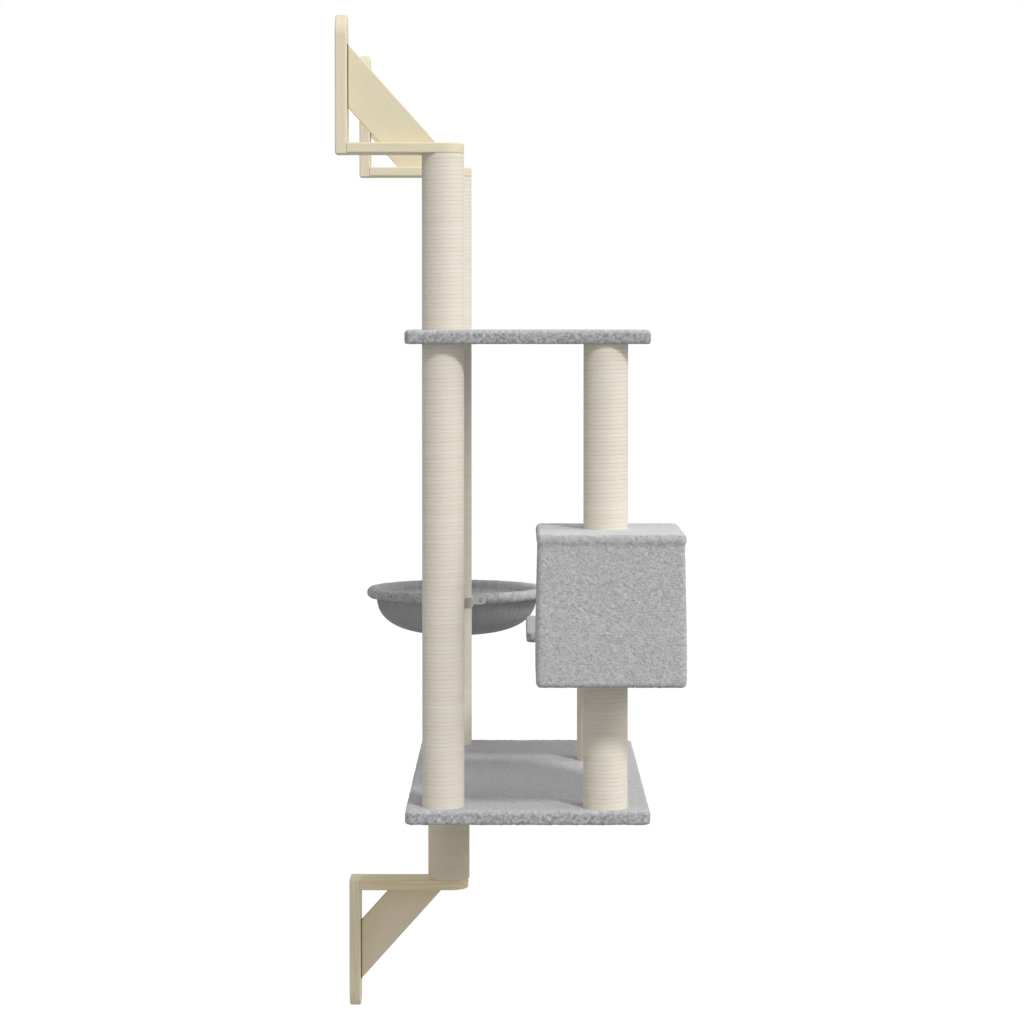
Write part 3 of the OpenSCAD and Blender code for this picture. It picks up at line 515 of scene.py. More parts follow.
def sisal(name, bright, dull):
    finish = Finish(name, Roughness=0.9, Specular_IOR_Level=0.12, Sheen_Weight=0.08)
    along = finish.painted("along")
    around = finish.painted("around")
    groove = finish.painted("groove")
    turn = around * STRANDS + along * (1.0 / LAY_LENGTH)
    strand = (turn * (2 * math.pi)).sine() * 0.5 + 0.5
    path = finish.node("ShaderNodeCombineXYZ", {},
                       {"X": along * 90.0, "Y": around * 26.0 + along * 260.0, "Z": 0.0})
    fibre = finish.cloud(path, 1.0, detail=4.0, rough=0.65)
    hair = finish.cloud(finish.place(), scale=1300.0, detail=2.0, rough=0.7)
    slow_path = finish.node("ShaderNodeCombineXYZ", {}, {"X": along * 1.7})
    pale = finish.blend(finish.spread(finish.cloud(slow_path, 1.0), 0.35, 0.65), bright, dull)
    color = finish.blend(finish.spread(fibre, 0.35, 0.8) * FIBRE_DEPTH, pale, tone(*FIBRE_TONE))
    color = finish.blend((1.0 - strand) ** 4.0 * LAY_DEPTH, color, tone(*LAY_TONE))
    # Painted shade in the grooves between turns.
    color = finish.blend(groove * GROOVE_SHADE_SHARE, color, tone(*GROOVE_SHADE_TONE))
    return finish.wear(color, None, strand * 0.4 + fibre * 0.5 + hair * 0.2, depth=0.00012)


sisal_rope = sisal("sisal_rope", tone(227, 220, 208), tone(221, 213, 198))
# Painted light: the low post stands in shade, and its yellower tone stands in for warm bounced
# light.
sisal_low = sisal("sisal_rope_low", tone(227, 215, 196), tone(221, 208, 186))
print("sisal lay:", LAY_LENGTH, "m")

# %% [markdown]
# ## Bowl cloth
# The bowl is a dark grey ribbed knit, stretched over its ring. Painted shade darkens the outside's
# colour in the hollows of the folds, which run from the rim to the middle of the bowl, so it
# follows the angle round the bowl's axis, which the mesh carries as a number. Its inner face is
# paler: the same yarn, brushed to a fluff. The cloth is thin and lets some light through, which
# evens its shade, so the shader scatters light under the surface.

# %% Bowl cloth finish
FOLD_SHADE_SHARE, FUZZ_SHARE, KNIT_SHARE, CLOTH_LIFT = 0.4, 0.5, 0.15, 0.02


def ribbed_cloth():
    finish = Finish("bowl_knit", Roughness=0.9, Specular_IOR_Level=0.15, Sheen_Weight=0.3,
                    Subsurface_Weight=0.55, Subsurface_Scale=0.05,
                    Subsurface_Radius=(1.0, 1.0, 1.0))
    place = finish.place()
    rib = finish.painted("rib")
    inner = finish.painted("inner")
    knit = finish.cells(finish.stretched(place, scale=(1.0, 1.0, 0.6)), scale=620.0)
    fuzz = finish.cloud(place, scale=420.0, detail=4.0, rough=0.65)
    # Painted shade along the folds comes in with the mesh's number.
    light = (rib * FOLD_SHADE_SHARE + fuzz * FUZZ_SHARE - knit * KNIT_SHARE + CLOTH_LIFT).held()
    outside = finish.blend(light, tone(85, 85, 86), tone(113, 113, 114))
    brushed = finish.blend(light, tone(157, 157, 158), tone(189, 189, 189))
    color = finish.blend(inner, outside, brushed)
    return finish.wear(color, None, fuzz * 0.6 + (1.0 - knit) * 0.5, depth=0.0006)


bowl_knit = ribbed_cloth()
print("bowl finish:", bowl_knit.name)

# %% [markdown]
# ## Finish every part that stays
# Parts whose shape is right keep their solid and only change material. The packed record says which
# slot each part has, so one table serves them all. The timber parts are told apart by their names,
# which begin with the bracket's height and end with the kind of board.

# %% Dress the parts that stay
slots = {part["node"]: part["material_slot"] for part in frame["record"]["subparts"]}
by_slot = {**hidden, **metals, "plush": plush_cover, "sisal": sisal_rope,
           "bowl_cloth": bowl_knit, "rim_cloth": plush_rim}


def finish_of(node):
    if slots[node] != "timber":
        return by_slot[slots[node]]
    bracket = node.split("_")[0]
    board = [kind for kind in ("wall_plate", "arm", "brace") if node.endswith(kind)][0]
    return pines[bracket + " " + board]


for node, part in frame["nodes"].items():
    part.data.materials.clear()
    part.data.materials.append(finish_of(node))
print("dressed", len(frame["nodes"]), "parts")

# %% [markdown]
# ## Meshes from grids
# Every soft piece here is a grid of points bent to a shape, so a few helpers make them all: one
# turns a grid that closes on itself into quads, and one makes the object, stores the numbers that
# its finish reads, and hangs it on the tree's only body. A quad faces one way, by the order of its
# corners. A render shows both of its sides alike, but other uses of a mesh expect it to face
# outward. The ropes, the rim's padding and the sleeve in the house's entrance still face inward.

# %% Quads from a grid
def grid_quads(rows, columns, flip=False):
    """Quads between neighbouring points of a grid that is stored row by row and closes sideways."""
    row = np.arange(rows - 1)[:, None]
    column = np.arange(columns)[None, :]
    after = (column + 1) % columns
    corners = [row * columns + column, row * columns + after,
               (row + 1) * columns + after, (row + 1) * columns + column]
    quads = np.stack([np.broadcast_to(c, (rows - 1, columns)).ravel() for c in corners], 1)
    return quads[:, ::-1] if flip else quads


print("3 rows of 4 points give", len(grid_quads(3, 4)), "quads")

# %% Make a piece
def make_piece(name, points, faces, finish, slot, replaced, **numbers):
    """An object from points and faces that rides on the tree and replaces some parts."""
    mesh = bpy.data.meshes.new(name)
    mesh.from_pydata(points.tolist(), [], [list(map(int, f)) for f in faces])
    for key, values in numbers.items():
        mesh.attributes.new(key, "FLOAT", "POINT").data.foreach_set("value", values.ravel())
    mesh.shade_smooth()
    mesh.materials.append(finish)
    mesh.validate()
    piece = bpy.data.objects.new(name, mesh)
    bpy.context.collection.objects.link(piece)
    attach(piece, ROOT)
    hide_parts(*replaced)
    print(name, len(points), "points")
    return piece


print("new pieces ride on the body", ROOT)

# %% [markdown]
# Relief needs to know which way each point faces, and a new piece takes its size from the box of
# the part that it replaces.

# %% Measure pieces and parts
TINY = 1e-12


def normals_of(points, quads):
    """The way each point faces, from the quads round it: outward where they face outward."""
    across = points[quads[:, 2]] - points[quads[:, 0]]
    along = points[quads[:, 3]] - points[quads[:, 1]]
    facing = np.cross(across, along)
    total = np.zeros_like(points)
    for k in range(4):
        np.add.at(total, quads[:, k], facing)
    return total / np.maximum(np.linalg.norm(total, axis=1, keepdims=True), TINY)


def corners_of(node):
    low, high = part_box(node)
    return np.array(low), np.array(high)


def axis_of(node):
    low, high = corners_of(node)
    return (low[0] + high[0]) / 2, (low[1] + high[1]) / 2


print("the bowl's post stands at", [round(v, 3) for v in axis_of("rear_right_lower_tube")])

# %% [markdown]
# ## Noise on points
# Relief is worked out on the points themselves, so that it is a true shape. Smooth noise is made
# from a lattice of random numbers, each hashed from its cell's whole numbers, so every run gives
# the same tufts.

# %% Smooth noise
HASH_STEPS = (73856093, 19349663, 83492791)
HASH_SALT = 2654435761
HASH_MIX = 0x45D9F3B
BITS_32, BITS_24 = 0xFFFFFFFF, 0xFFFFFF


def scramble(cells, salt):
    """A repeatable random number from 0 to 1 for each whole-numbered cell."""
    x, y, z = [cells[..., k] * HASH_STEPS[k] for k in range(3)]
    mixed = ((x ^ y ^ z) + salt * HASH_SALT) & BITS_32
    for _ in range(2):
        mixed = ((mixed ^ (mixed >> 16)) * HASH_MIX) & BITS_32
    return ((mixed ^ (mixed >> 16)) & BITS_24) / BITS_24


def eased(share):
    """A share from 0 to 1 that starts and ends gently."""
    return share * share * (3 - 2 * share)


def soft_noise(points, size, salt):
    """Smooth noise from 0 to 1 whose lumps are about size across."""
    scaled = points / size
    home = np.floor(scaled).astype(np.int64)
    part = eased(scaled - home)
    total = np.zeros(len(points))
    for shift in np.ndindex(2, 2, 2):
        corner = np.array(shift)
        weight = np.prod(np.where(corner, part, 1 - part), axis=1)
        total += weight * scramble(home + corner, salt)
    return total


print("noise at the origin:", round(float(soft_noise(np.zeros((1, 3)), 1.0, 7)[0]), 3))

# %% [markdown]
# Plush loops gather in tufts of 4 to 5 mm. A point's height in its tuft is how far the noise there
# rises over the noise a little to its sides, which keeps all tufts alike and leaves no slow hills.
# The noise is bent first, so that its lattice can't be seen.

# %% Tufts of pile
CURL_SIZE = 0.0046
CURL_DEPTH = 0.0013
CURL_CONTRAST = 1.05
CURL_SALT = 31
SIDE_STEP = 1.3
DRIFT_SIZE, DRIFT_REACH, DRIFT_SALTS = 0.011, 0.009, (41, 42, 43)


def curls(points):
    """How high each point lies in its tuft of pile, from 0 in a gap to 1 on top."""
    drift = [soft_noise(points, DRIFT_SIZE, salt) - 0.5 for salt in DRIFT_SALTS]
    bent = points + np.stack(drift, 1) * DRIFT_REACH
    here = soft_noise(bent, CURL_SIZE, CURL_SALT)
    steps = np.eye(3) * CURL_SIZE * SIDE_STEP
    beside = [soft_noise(bent + step, CURL_SIZE, CURL_SALT) for step in steps]
    return np.clip(0.5 + CURL_CONTRAST * (here - sum(beside) / 3), 0, 1)


print("tufts of", CURL_SIZE * 1000, "mm,", CURL_DEPTH * 1000, "mm deep")

# %% [markdown]
# ## A box with soft corners
# The platforms, the step and the house are boards wrapped in plush. A box grid is rounded twice:
# first its upright corners, seen from above, and then its edges. Squares of the grid near a corner
# are drawn onto quarter circles, which keeps the grid even, and curls then have room everywhere.

# %% A box grid
def box_grid(size, step):
    """The surface points of a box round the origin, on a lattice, and its quads."""
    counts = [max(2, 2 * round(side / step / 2)) for side in size]
    strides = np.array([(counts[1] + 1) * (counts[2] + 1), counts[2] + 1, 1])
    quads = []
    for axis in range(3):
        u, v = [a for a in range(3) if a != axis]
        first, second = np.meshgrid(np.arange(counts[u]), np.arange(counts[v]), indexing="ij")
        for end in (0, counts[axis]):
            corners = []
            for du, dv in ((0, 0), (1, 0), (1, 1), (0, 1)):
                place = np.zeros(first.shape + (3,), dtype=np.int64)
                place[..., axis] = end
                place[..., u] = first + du
                place[..., v] = second + dv
                corners.append((place @ strides).ravel())
            outward = (end > 0) == (axis != 1)
            quads.append(np.stack(corners if outward else corners[::-1], 1))
    codes, quads = np.unique(np.concatenate(quads), return_inverse=True)
    lattice = np.stack([codes // strides[0], codes % strides[0] // strides[1],
                        codes % strides[1]], 1)
    return lattice, np.array(counts), quads.reshape(-1, 4)


print("a box of 4 by 4 by 2 steps has", len(box_grid((4, 4, 2), 1)[0]), "points")

# %% Round its corners
def rounded_square(u, v):
    """Draws the square 0 to 1 onto a quarter disc, keeping the straight rays."""
    reach = np.hypot(u, v)
    scale = np.where(reach > TINY, np.maximum(u, v) / np.maximum(reach, TINY), 1.0)
    return u * scale, v * scale


def soften(points, half, corner, edge):
    """Rounds the upright corners and then the other edges of a box of points."""
    sign = np.sign(points)
    reach = np.abs(points)
    u = np.maximum(reach[:, 0] - (half[0] - corner), 0)
    v = np.maximum(reach[:, 1] - (half[1] - corner), 0)
    both = (u > 0) & (v > 0)
    new_u, new_v = rounded_square(u, v)
    reach[both, 0] = half[0] - corner + new_u[both]
    reach[both, 1] = half[1] - corner + new_v[both]
    u, v = np.where(both, new_u, u), np.where(both, new_v, v)
    length = np.maximum(np.hypot(u, v), TINY)
    outward = np.stack([u / length, v / length], 1)
    to_wall = np.minimum(half[0] - reach[:, 0], half[1] - reach[:, 1])
    beside = np.where(both, corner - length, to_wall)
    rim = np.maximum(edge - beside, 0)
    rise = np.maximum(edge - (half[2] - reach[:, 2]), 0)
    turned = (rim > 0) & (rise > 0)
    new_rim, new_rise = rounded_square(rim, rise)
    move = np.where(turned, new_rim - rim, 0)
    reach[:, :2] += outward * move[:, None]
    reach[turned, 2] = half[2] - edge + new_rise[turned]
    return reach * sign


print("a square's corner moves in to", np.round(rounded_square(1.0, 1.0), 3))

# %% [markdown]
# ## Plush platforms and step
# Each cover takes its size and place from the part that it replaces, and on the platforms its pile
# stands 1 to 3 mm proud of it. Four bolts come up through the base, with their heads in recesses,
# so the cover is tucked in there and shows the heads. Painted shade darkens the edges and deepens
# their tufts' contrast, painted light makes the tops paler, and the upper cover and the step carry
# an even painted shade as well. The upper cover and the step's are drawn up tight underneath.

# %% Tuck the pile in round bolts
SEAT_DEPTH = 0.0066
SEAT_RADIUS = 0.0125
SEAT_SLOPE = 0.0035


def tucked(points, seats):
    """How deep the cover is tucked into the recesses of bolts, in metres."""
    deep = np.zeros(len(points))
    for seat in seats:
        away = np.linalg.norm(points - np.array(seat), axis=1)
        deep = np.maximum(deep, SEAT_DEPTH * np.clip((SEAT_RADIUS - away) / SEAT_SLOPE, 0, 1))
    return deep


print("recesses are", 2 * SEAT_RADIUS * 1000, "mm across")

# %% Cover the platforms and the step
PILE_STEP = 0.0026
SLAB_CORNER = 0.012
SLAB_EDGE = 0.006
TUFT_MIDDLE = 0.35
HILL_SIZE, HILL_DEPTH, HILL_SALT = 0.05, 0.0008, 21
SIDE_CONTRAST, SIDE_PAINTED_SHADE, TOP_PAINTED_LIGHT = 1.2, 0.51, 0.40
SHADE_LOW, SHADE_HIGH = -0.8, 1.2
BOLTED_POSTS = ("rear_left_lower_tube", "rear_right_lower_tube", "front_left_lower_tube",
                "front_right_tube")


def plush_slab(name, node, above, beside, below, even_painted_shade, bolted=()):
    """A cover whose pile stands proud above, beside and below its part, with painted light and
    shade.
    """
    low, high = corners_of(node)
    half = (high - low) / 2
    lattice, counts, quads = box_grid(high - low, PILE_STEP)
    points = soften((lattice / counts - 0.5) * 2 * half, half, SLAB_CORNER, SLAB_EDGE)
    facing = normals_of(points, quads)
    points = points + (low + high) / 2
    height = curls(points)
    deep = tucked(points, [(*axis_of(post), low[2]) for post in bolted])
    hills = soft_noise(points, HILL_SIZE, HILL_SALT) - 0.5
    upward = facing[:, 2]
    crown = np.maximum(upward, 0) ** 2
    pile = beside + (np.where(upward > 0, above, below) - beside) * upward ** 2
    pile = pile + (height - TUFT_MIDDLE) * CURL_DEPTH + hills * HILL_DEPTH
    rise = np.where(deep > 0, -deep, pile)
    # Painted light and shade: sides darker with stronger tuft contrast, tops paler, and an even
    # painted shade.
    side = 1.0 - np.abs(upward)
    contrast = 1 + SIDE_CONTRAST * side
    shade = 0.5 + (height - 0.5) * contrast - SIDE_PAINTED_SHADE * side + TOP_PAINTED_LIGHT * crown - even_painted_shade
    shade = np.clip(shade, SHADE_LOW, SHADE_HIGH)
    points = points + facing * rise[:, None]
    make_piece(name, points, quads, plush_cover, "plush", [node], curl=shade)


plush_slab("base_cover", "base_plush", above=0.0016, beside=0.0012, below=0.0012, even_painted_shade=0.0,
           bolted=BOLTED_POSTS)
plush_slab("upper_cover", "upper_plush", above=0.0034, beside=0.0012, below=-0.0018, even_painted_shade=0.14)
plush_slab("step_cover", "step_plush", above=0.0, beside=0.0, below=-0.0008, even_painted_shade=0.42)

# %% [markdown]
# ## The house
# The plush on the house is one skin that goes over the outside, turns in through the round entrance
# and lines the inside. The roof is padded, so it stands out as a soft lip, and the walls are drawn
# in just below it. For the entrance, a square ring of the front's grid is bent into its circle,
# outside and inside alike, and the squares within the ring are left out.

# %% A box with a round entrance
ENTRANCE_RADIUS = 0.095
ENTRANCE_ROUNDING = 0.007
BEND_RADIUS = ENTRANCE_RADIUS + ENTRANCE_ROUNDING
RING_STEPS = 28
BEND_MARGIN = 6
HOUSE_STEP = 0.0028


def ring_at_entrance(lattice, counts, size):
    """Bends the front face's grid so that a square ring of it lies on the entrance's circle."""
    reach = min(counts[1], counts[2]) // 2 - BEND_MARGIN
    across = lattice[:, 1] - counts[1] // 2
    upward = lattice[:, 2] - counts[2] // 2
    y, z = across * (size[1] / counts[1]), upward * (size[2] / counts[2])
    front = lattice[:, 0] == counts[0]
    square = np.maximum(np.abs(across), np.abs(upward))
    share = np.clip((square - RING_STEPS) / (reach - RING_STEPS), 0, 1)
    length = np.maximum(np.hypot(y, z), TINY)
    bend = front & (square <= reach) & (square >= RING_STEPS)
    share = np.where(bend, share, 1.0)
    new_y = y * share + (1 - share) * BEND_RADIUS * y / length
    new_z = z * share + (1 - share) * BEND_RADIUS * z / length
    return new_y, new_z, front & (square < RING_STEPS), front & (square == RING_STEPS)


def house_shell(size):
    """A box with a round opening in front: its points, its quads and its ring at the opening."""
    lattice, counts, quads = box_grid(size, HOUSE_STEP)
    y, z, gone, ring = ring_at_entrance(lattice, counts, size)
    points = np.stack([(lattice[:, 0] / counts[0] - 0.5) * size[0], y, z], 1)
    quads = quads[~gone[quads].any(axis=1)]
    angle = np.arctan2(z, y)
    order = np.flatnonzero(ring)
    return points, quads, order[np.argsort(angle[order])]


print("the entrance is", 2 * ENTRANCE_RADIUS, "m across")

# %% Walls drawn in below the roof
ROOF_LIP_HEIGHT = 0.011
ROOF_LIP_TURN = 0.011
WAIST_DEPTH = 0.0029
FOOT_SWELL = 0.0010
WALL_HEIGHT = 0.17


def drawn_in(height):
    """How far the walls are drawn in at a height below the roof: most just under the lip."""
    below = np.clip((height - ROOF_LIP_HEIGHT) / ROOF_LIP_TURN, 0, 1)
    fade = np.clip((height - ROOF_LIP_HEIGHT - ROOF_LIP_TURN) / WALL_HEIGHT, 0, 1)
    depth = WAIST_DEPTH * (1 - fade) - FOOT_SWELL * fade
    return depth * eased(below)


def plan_outward(points, half, corner):
    """The level direction in which each point of a wall faces."""
    reach = np.maximum(np.abs(points[:, :2]) - (half[:2] - corner), 0)
    length = np.maximum(np.linalg.norm(reach, axis=1, keepdims=True), TINY)
    return np.sign(points[:, :2]) * reach / length


print("the walls are drawn in by up to", round(WAIST_DEPTH * 1000, 1), "mm")

# %% [markdown]
# The outside is softened and drawn in. The lining stays a plain box, because boards stand behind
# it. Rings of points then turn a quarter circle in at the outside and a quarter circle out at the
# lining, and a sleeve of quads joins everything. Points that no quad uses are dropped.

# %% Join the skin and the lining
HOUSE_CORNER = 0.009
LINING_THICKNESS = 0.003
ENTRANCE_RINGS = 5

low, high = corners_of("house_plush")
middle = (low + high) / 2
outer_size = high - low
inner_low, inner_high = corners_of("house_lining")
floor_z, roof_z = inner_low[2] + LINING_THICKNESS, inner_high[2] - LINING_THICKNESS
inner_size = inner_high - inner_low - 2 * LINING_THICKNESS
outer, outer_quads, outer_ring = house_shell(outer_size)
outer = soften(outer, outer_size / 2, HOUSE_CORNER, HOUSE_CORNER)
inward = drawn_in(outer_size[2] / 2 - outer[:, 2])
outer[:, :2] -= plan_outward(outer, outer_size / 2, HOUSE_CORNER) * inward[:, None]
inner, inner_quads, inner_ring = house_shell(inner_size)
front_out = outer[outer_ring, 0]
front_in = np.full(len(front_out), inner_size[0] / 2)
angles = np.arctan2(outer[outer_ring, 2], outer[outer_ring, 1])
shares = np.linspace(0, 1, ENTRANCE_RINGS)[1:]
rings = []
for face, way, steps in ((front_out, -1, shares), (front_in, 1, shares[::-1])):
    for share in steps:
        bend = share * QUARTER
        radius = ENTRANCE_RADIUS + ENTRANCE_ROUNDING * (1 - math.sin(bend))
        x = face + way * ENTRANCE_ROUNDING * (1 - math.cos(bend))
        rings.append(np.stack([x, radius * np.cos(angles), radius * np.sin(angles)], 1))
rings = np.concatenate(rings)
base_ring = len(outer)
base_inner = base_ring + len(rings)
chain = np.concatenate([outer_ring[None, :],
                        base_ring + np.arange(len(rings)).reshape(-1, len(angles)),
                        (base_inner + inner_ring)[None, :]])
sleeve_quads = chain.ravel()[grid_quads(len(chain), len(angles), flip=True)]
points = np.concatenate([outer, rings, inner])
quads = np.concatenate([outer_quads, sleeve_quads, inner_quads[:, ::-1] + base_inner])
used = np.unique(quads)
renumber = np.full(len(points), -1)
renumber[used] = np.arange(len(used))
points, quads = points[used], renumber[quads]
print("the skin has", len(quads), "quads")

# %% [markdown]
# Last, the skin gets its pile. It is tucked in where the post's bolts pass through floor and roof.
# The roof's padding lifts it a little, and its colour is painted paler: painted light on the roof.

# %% Raise the house's pile
ROOF_LOFT = 0.0018
ROOF_PAINTED_LIGHT = 1.65
HOUSE_TUFT_MIDDLE = 0.25
HOUSE_TUFT_SHARE = 0.8

facing = normals_of(points, quads)
points = points + middle
height = curls(points)
bolt = axis_of("front_left_upper_tube")
deep = tucked(points, [(*bolt, floor_z), (*bolt, roof_z)])
roof = np.where(used < base_ring, np.clip(facing[:, 2], 0, 1) ** 2, 0)
pile = roof * ROOF_LOFT + (height - HOUSE_TUFT_MIDDLE) * CURL_DEPTH * HOUSE_TUFT_SHARE
rise = np.where(deep > 0, -deep, pile)
points = points + facing * rise[:, None]
# Painted light: the roof's number is raised, so it renders paler.
make_piece("house_cover", points, quads, plush_cover, "plush", ["house_plush", "house_lining"],
           curl=height + ROOF_PAINTED_LIGHT * roof ** 4)

# %% [markdown]
# ## Rope on the posts
# Every post is wound from foot to head with one rope, and the turns lie against each other. The
# rope is a true helix of mesh, pressed flat where it meets its neighbours, so only a shallow groove
# shows. Its first and last turns are trimmed to a wedge, which gives each post a square end. A slow
# random wander in height and reach keeps the turns from looking machined. Where a post carries a
# platform or the step, its head is pressed a little into the pile, so no gap shows between them.
# The rear posts and the low post are wound tighter than the front ones, with shallower grooves.

# %% A slow wander
LEAN, LEAN_RINGS = 0.020, 34
PRESS, PRESS_RINGS = 0.00006, 31


def wandering(count, size, amount, seed):
    """A smooth random walk round zero, which bends about every size steps."""
    generator = np.random.default_rng(seed)
    knots = generator.uniform(-amount, amount, count // size + 3)
    place = np.arange(count) / size
    home = place.astype(int)
    part = eased(place - home)
    return knots[home] * (1 - part) + knots[home + 1] * part


print("edges wander by up to", LEAN, "of a turn, reach by", PRESS * 1000, "mm")

# %% A rope round a post
ROPE_PITCH = 0.008
ROPE_DEPTH = 0.0079
GROOVE_POWER = 2.2
GROOVE_SHADE_POWER = 4
LEAST_TURN = 0.0001
TURN_FILL = 0.995
RINGS_PER_TURN = 48
CROWN = np.array([-1.0, -0.82, -0.5, 0.0, 0.5, 0.82, 1.0])
BACK = np.array([0.9, -0.9])
ROUND_SHARE = 0.25


def wound_post(name, node, seed, finish, tuck, groove_depth):
    """One rope from a post's foot to its head, which is tucked so far into what lies on it."""
    low, high = corners_of(node)
    middle = (low + high) / 2
    radius = (high[0] - low[0] + high[1] - low[1]) / 4
    turns = round((high[2] - low[2]) / ROPE_PITCH)
    length = high[2] - low[2] + tuck
    rings = (turns + 1) * RINGS_PER_TURN + 1
    turned = np.arange(rings) / RINGS_PER_TURN
    lean = wandering(rings, LEAN_RINGS, LEAN, seed)
    under = np.clip(turned - 1 + lean, 0, turns) * length / turns
    lean = wandering(rings + RINGS_PER_TURN, LEAN_RINGS, LEAN, seed)[RINGS_PER_TURN:]
    over = np.clip(turned + lean, 0, turns) * length / turns
    over = np.maximum(over, under + LEAST_TURN)
    centre, half = low[2] + (under + over) / 2, (over - under) / 2 * TURN_FILL
    press = (radius + wandering(rings, PRESS_RINGS, PRESS, seed + 1))[:, None]
    crown_reach = press - groove_depth * np.abs(CROWN)[None, :] ** GROOVE_POWER
    back_reach = np.broadcast_to(press - ROPE_DEPTH, (rings, len(BACK)))
    reach = np.concatenate([crown_reach, back_reach], 1)
    across = np.concatenate([CROWN, BACK])
    rise = centre[:, None] + half[:, None] * across[None, :]
    angle = (turned * 2 * math.pi)[:, None]
    points = np.stack([middle[0] + reach * np.cos(angle),
                       middle[1] + reach * np.sin(angle), rise], 2)
    sides = len(across)
    faces = grid_quads(rings, sides).tolist()
    faces.append(list(range(sides)))
    faces.append([(rings - 1) * sides + k for k in range(sides)][::-1])
    # The groove number says where the painted shade between turns lies.
    numbers = {"along": angle * radius, "around": across[None, :] * ROUND_SHARE,
               "groove": np.abs(across)[None, :] ** GROOVE_SHADE_POWER}
    numbers = {key: np.broadcast_to(values, reach.shape) for key, values in numbers.items()}
    make_piece(name, points.reshape(-1, 3), faces, finish, "sisal", [node], **numbers)


print("a rope of", ROPE_PITCH * 1000, "mm takes", RINGS_PER_TURN, "rings of points a turn")

# %% [markdown]
# The same function winds all eight posts. Each has its own seed, so no two wander alike.

# %% Wind the posts
GROOVE_DEPTH, TIGHT_GROOVE_DEPTH = 0.00014, 0.00008
HEAD_TUCK = 0.0028
FIRST_SEED, SEED_STEP = 100, 10
POSTS = ("rear_left_lower", "rear_left_upper", "rear_right_lower", "rear_right_upper",
         "front_left_lower", "front_left_upper", "front_right", "low_post")
UNDER_PILE = ("rear_left_lower", "rear_right_lower", "front_left_upper", "front_right")
for i, post in enumerate(POSTS):
    finish = sisal_low if post == "low_post" else sisal_rope
    tuck = HEAD_TUCK if post in UNDER_PILE else 0.0
    groove_depth = GROOVE_DEPTH if post.startswith("front") else TIGHT_GROOVE_DEPTH
    seed = FIRST_SEED + SEED_STEP * i
    wound_post(post + "_rope", post + "_sisal", seed, finish, tuck, groove_depth)

# %% [markdown]
# ## The bowl
# The cloth of the bowl is gathered on its ring, so many small folds start at the rim and fade out
# towards the bottom. Their spacing wanders and some are deeper than others. Sizes come from the
# parts that the cloth and the rim replace.

# %% Lay out the folds
BOWL_COLUMNS = 720
BOWL_ROWS = 56
FOLDS = 84
FOLD_WANDER = 2.6
FOLD_SEED = 5
UNEVEN_MIDDLE, UNEVEN_REACH = 0.55, 0.45
SETTLE_POWER = 0.7

low, high = corners_of("bowl_cloth")
rim_low, rim_high = corners_of("bowl_rim_cover")
axis = (low[:2] + high[:2]) / 2
rim_z = (rim_low[2] + rim_high[2]) / 2
tube_radius = (rim_high[2] - rim_low[2]) / 2
ring_radius = (rim_high[0] - rim_low[0]) / 2 - tube_radius
turn_angle = np.arange(BOWL_COLUMNS) * 2 * math.pi / BOWL_COLUMNS
phase = np.random.default_rng(FOLD_SEED).uniform(0, 2 * math.pi, 6)
wander = sum(np.sin((k + 2) * turn_angle + phase[k]) / (k + 1) for k in range(5))
folds = np.sin(FOLDS * turn_angle + FOLD_WANDER * wander)
beat = UNEVEN_REACH * np.sin(19 * turn_angle + phase[5]) * np.sin(7 * turn_angle + phase[0])
uneven = UNEVEN_MIDDLE + beat
rows = np.linspace(0, 1, BOWL_ROWS)
levels = np.sin(rows * QUARTER)
settle = np.clip(1 - rows, 0, 1) ** SETTLE_POWER
print("bowl of", round(2 * (ring_radius + tube_radius), 3), "m across, with", FOLDS, "folds")

# %% [markdown]
# The bowl's shape is a squared-off ellipse turned round its axis. Outside and inside are one closed
# surface. The lining is drawn up over the rim's inner side, so no gap shows between the two, and
# hangs straight down from there until it meets the outer cloth.

# %% Shape the outside and the lining
BOWL_FULLNESS = 2.7
CLOTH_THICKNESS = 0.003
OUTER_FOLD = 0.0005
INNER_FOLD = 0.0008
RIM_SHARE = 0.985
RIM_LIFT = 0.0012
LINING_AIR = 0.0008
LINING_TURN = 1.25
LINING_ROWS = 14
LEAST_REACH = 0.0003


def bowl_radius(radius, depth, below):
    return radius * np.maximum(0, 1 - (below / depth) ** BOWL_FULLNESS) ** (1 / BOWL_FULLNESS)


def turned_surface(reach, below, fold, fade):
    """A surface turned round the bowl's axis from a profile, with folds across it."""
    ripple = (folds * uneven)[None, :] * (fade * fold)[:, None]
    reach = np.maximum(reach[:, None] + ripple, LEAST_REACH)
    level = np.broadcast_to((rim_z - below)[:, None], reach.shape)
    x = axis[0] + reach * np.cos(turn_angle)
    y = axis[1] + reach * np.sin(turn_angle)
    return np.stack([x, y, level], 2)


cloth_radius = (high[0] - low[0]) / 2
bowl_depth = rim_z - low[2]
start = rim_z - high[2]
below = start + (bowl_depth - start) * levels
fade = settle * np.clip(rows * 9, 0.25, 1)
outside = turned_surface(bowl_radius(cloth_radius, bowl_depth, below), below, OUTER_FOLD, fade)
hug = tube_radius * RIM_SHARE + LINING_AIR
wrap = np.linspace(QUARTER - LINING_TURN, QUARTER, LINING_ROWS)[:-1] + QUARTER
inner_depth = bowl_depth - CLOTH_THICKNESS
over = inner_depth * levels
hang = np.minimum(ring_radius - hug, bowl_radius(cloth_radius - CLOTH_THICKNESS, inner_depth, over))
lining_reach = np.concatenate([ring_radius + hug * np.cos(wrap), hang])
lining_below = np.concatenate([-hug * np.sin(wrap) - RIM_LIFT, over])
lining_fade = np.concatenate([np.linspace(0.2, 1, LINING_ROWS)[:-1], settle])
room = INNER_FOLD * lining_fade
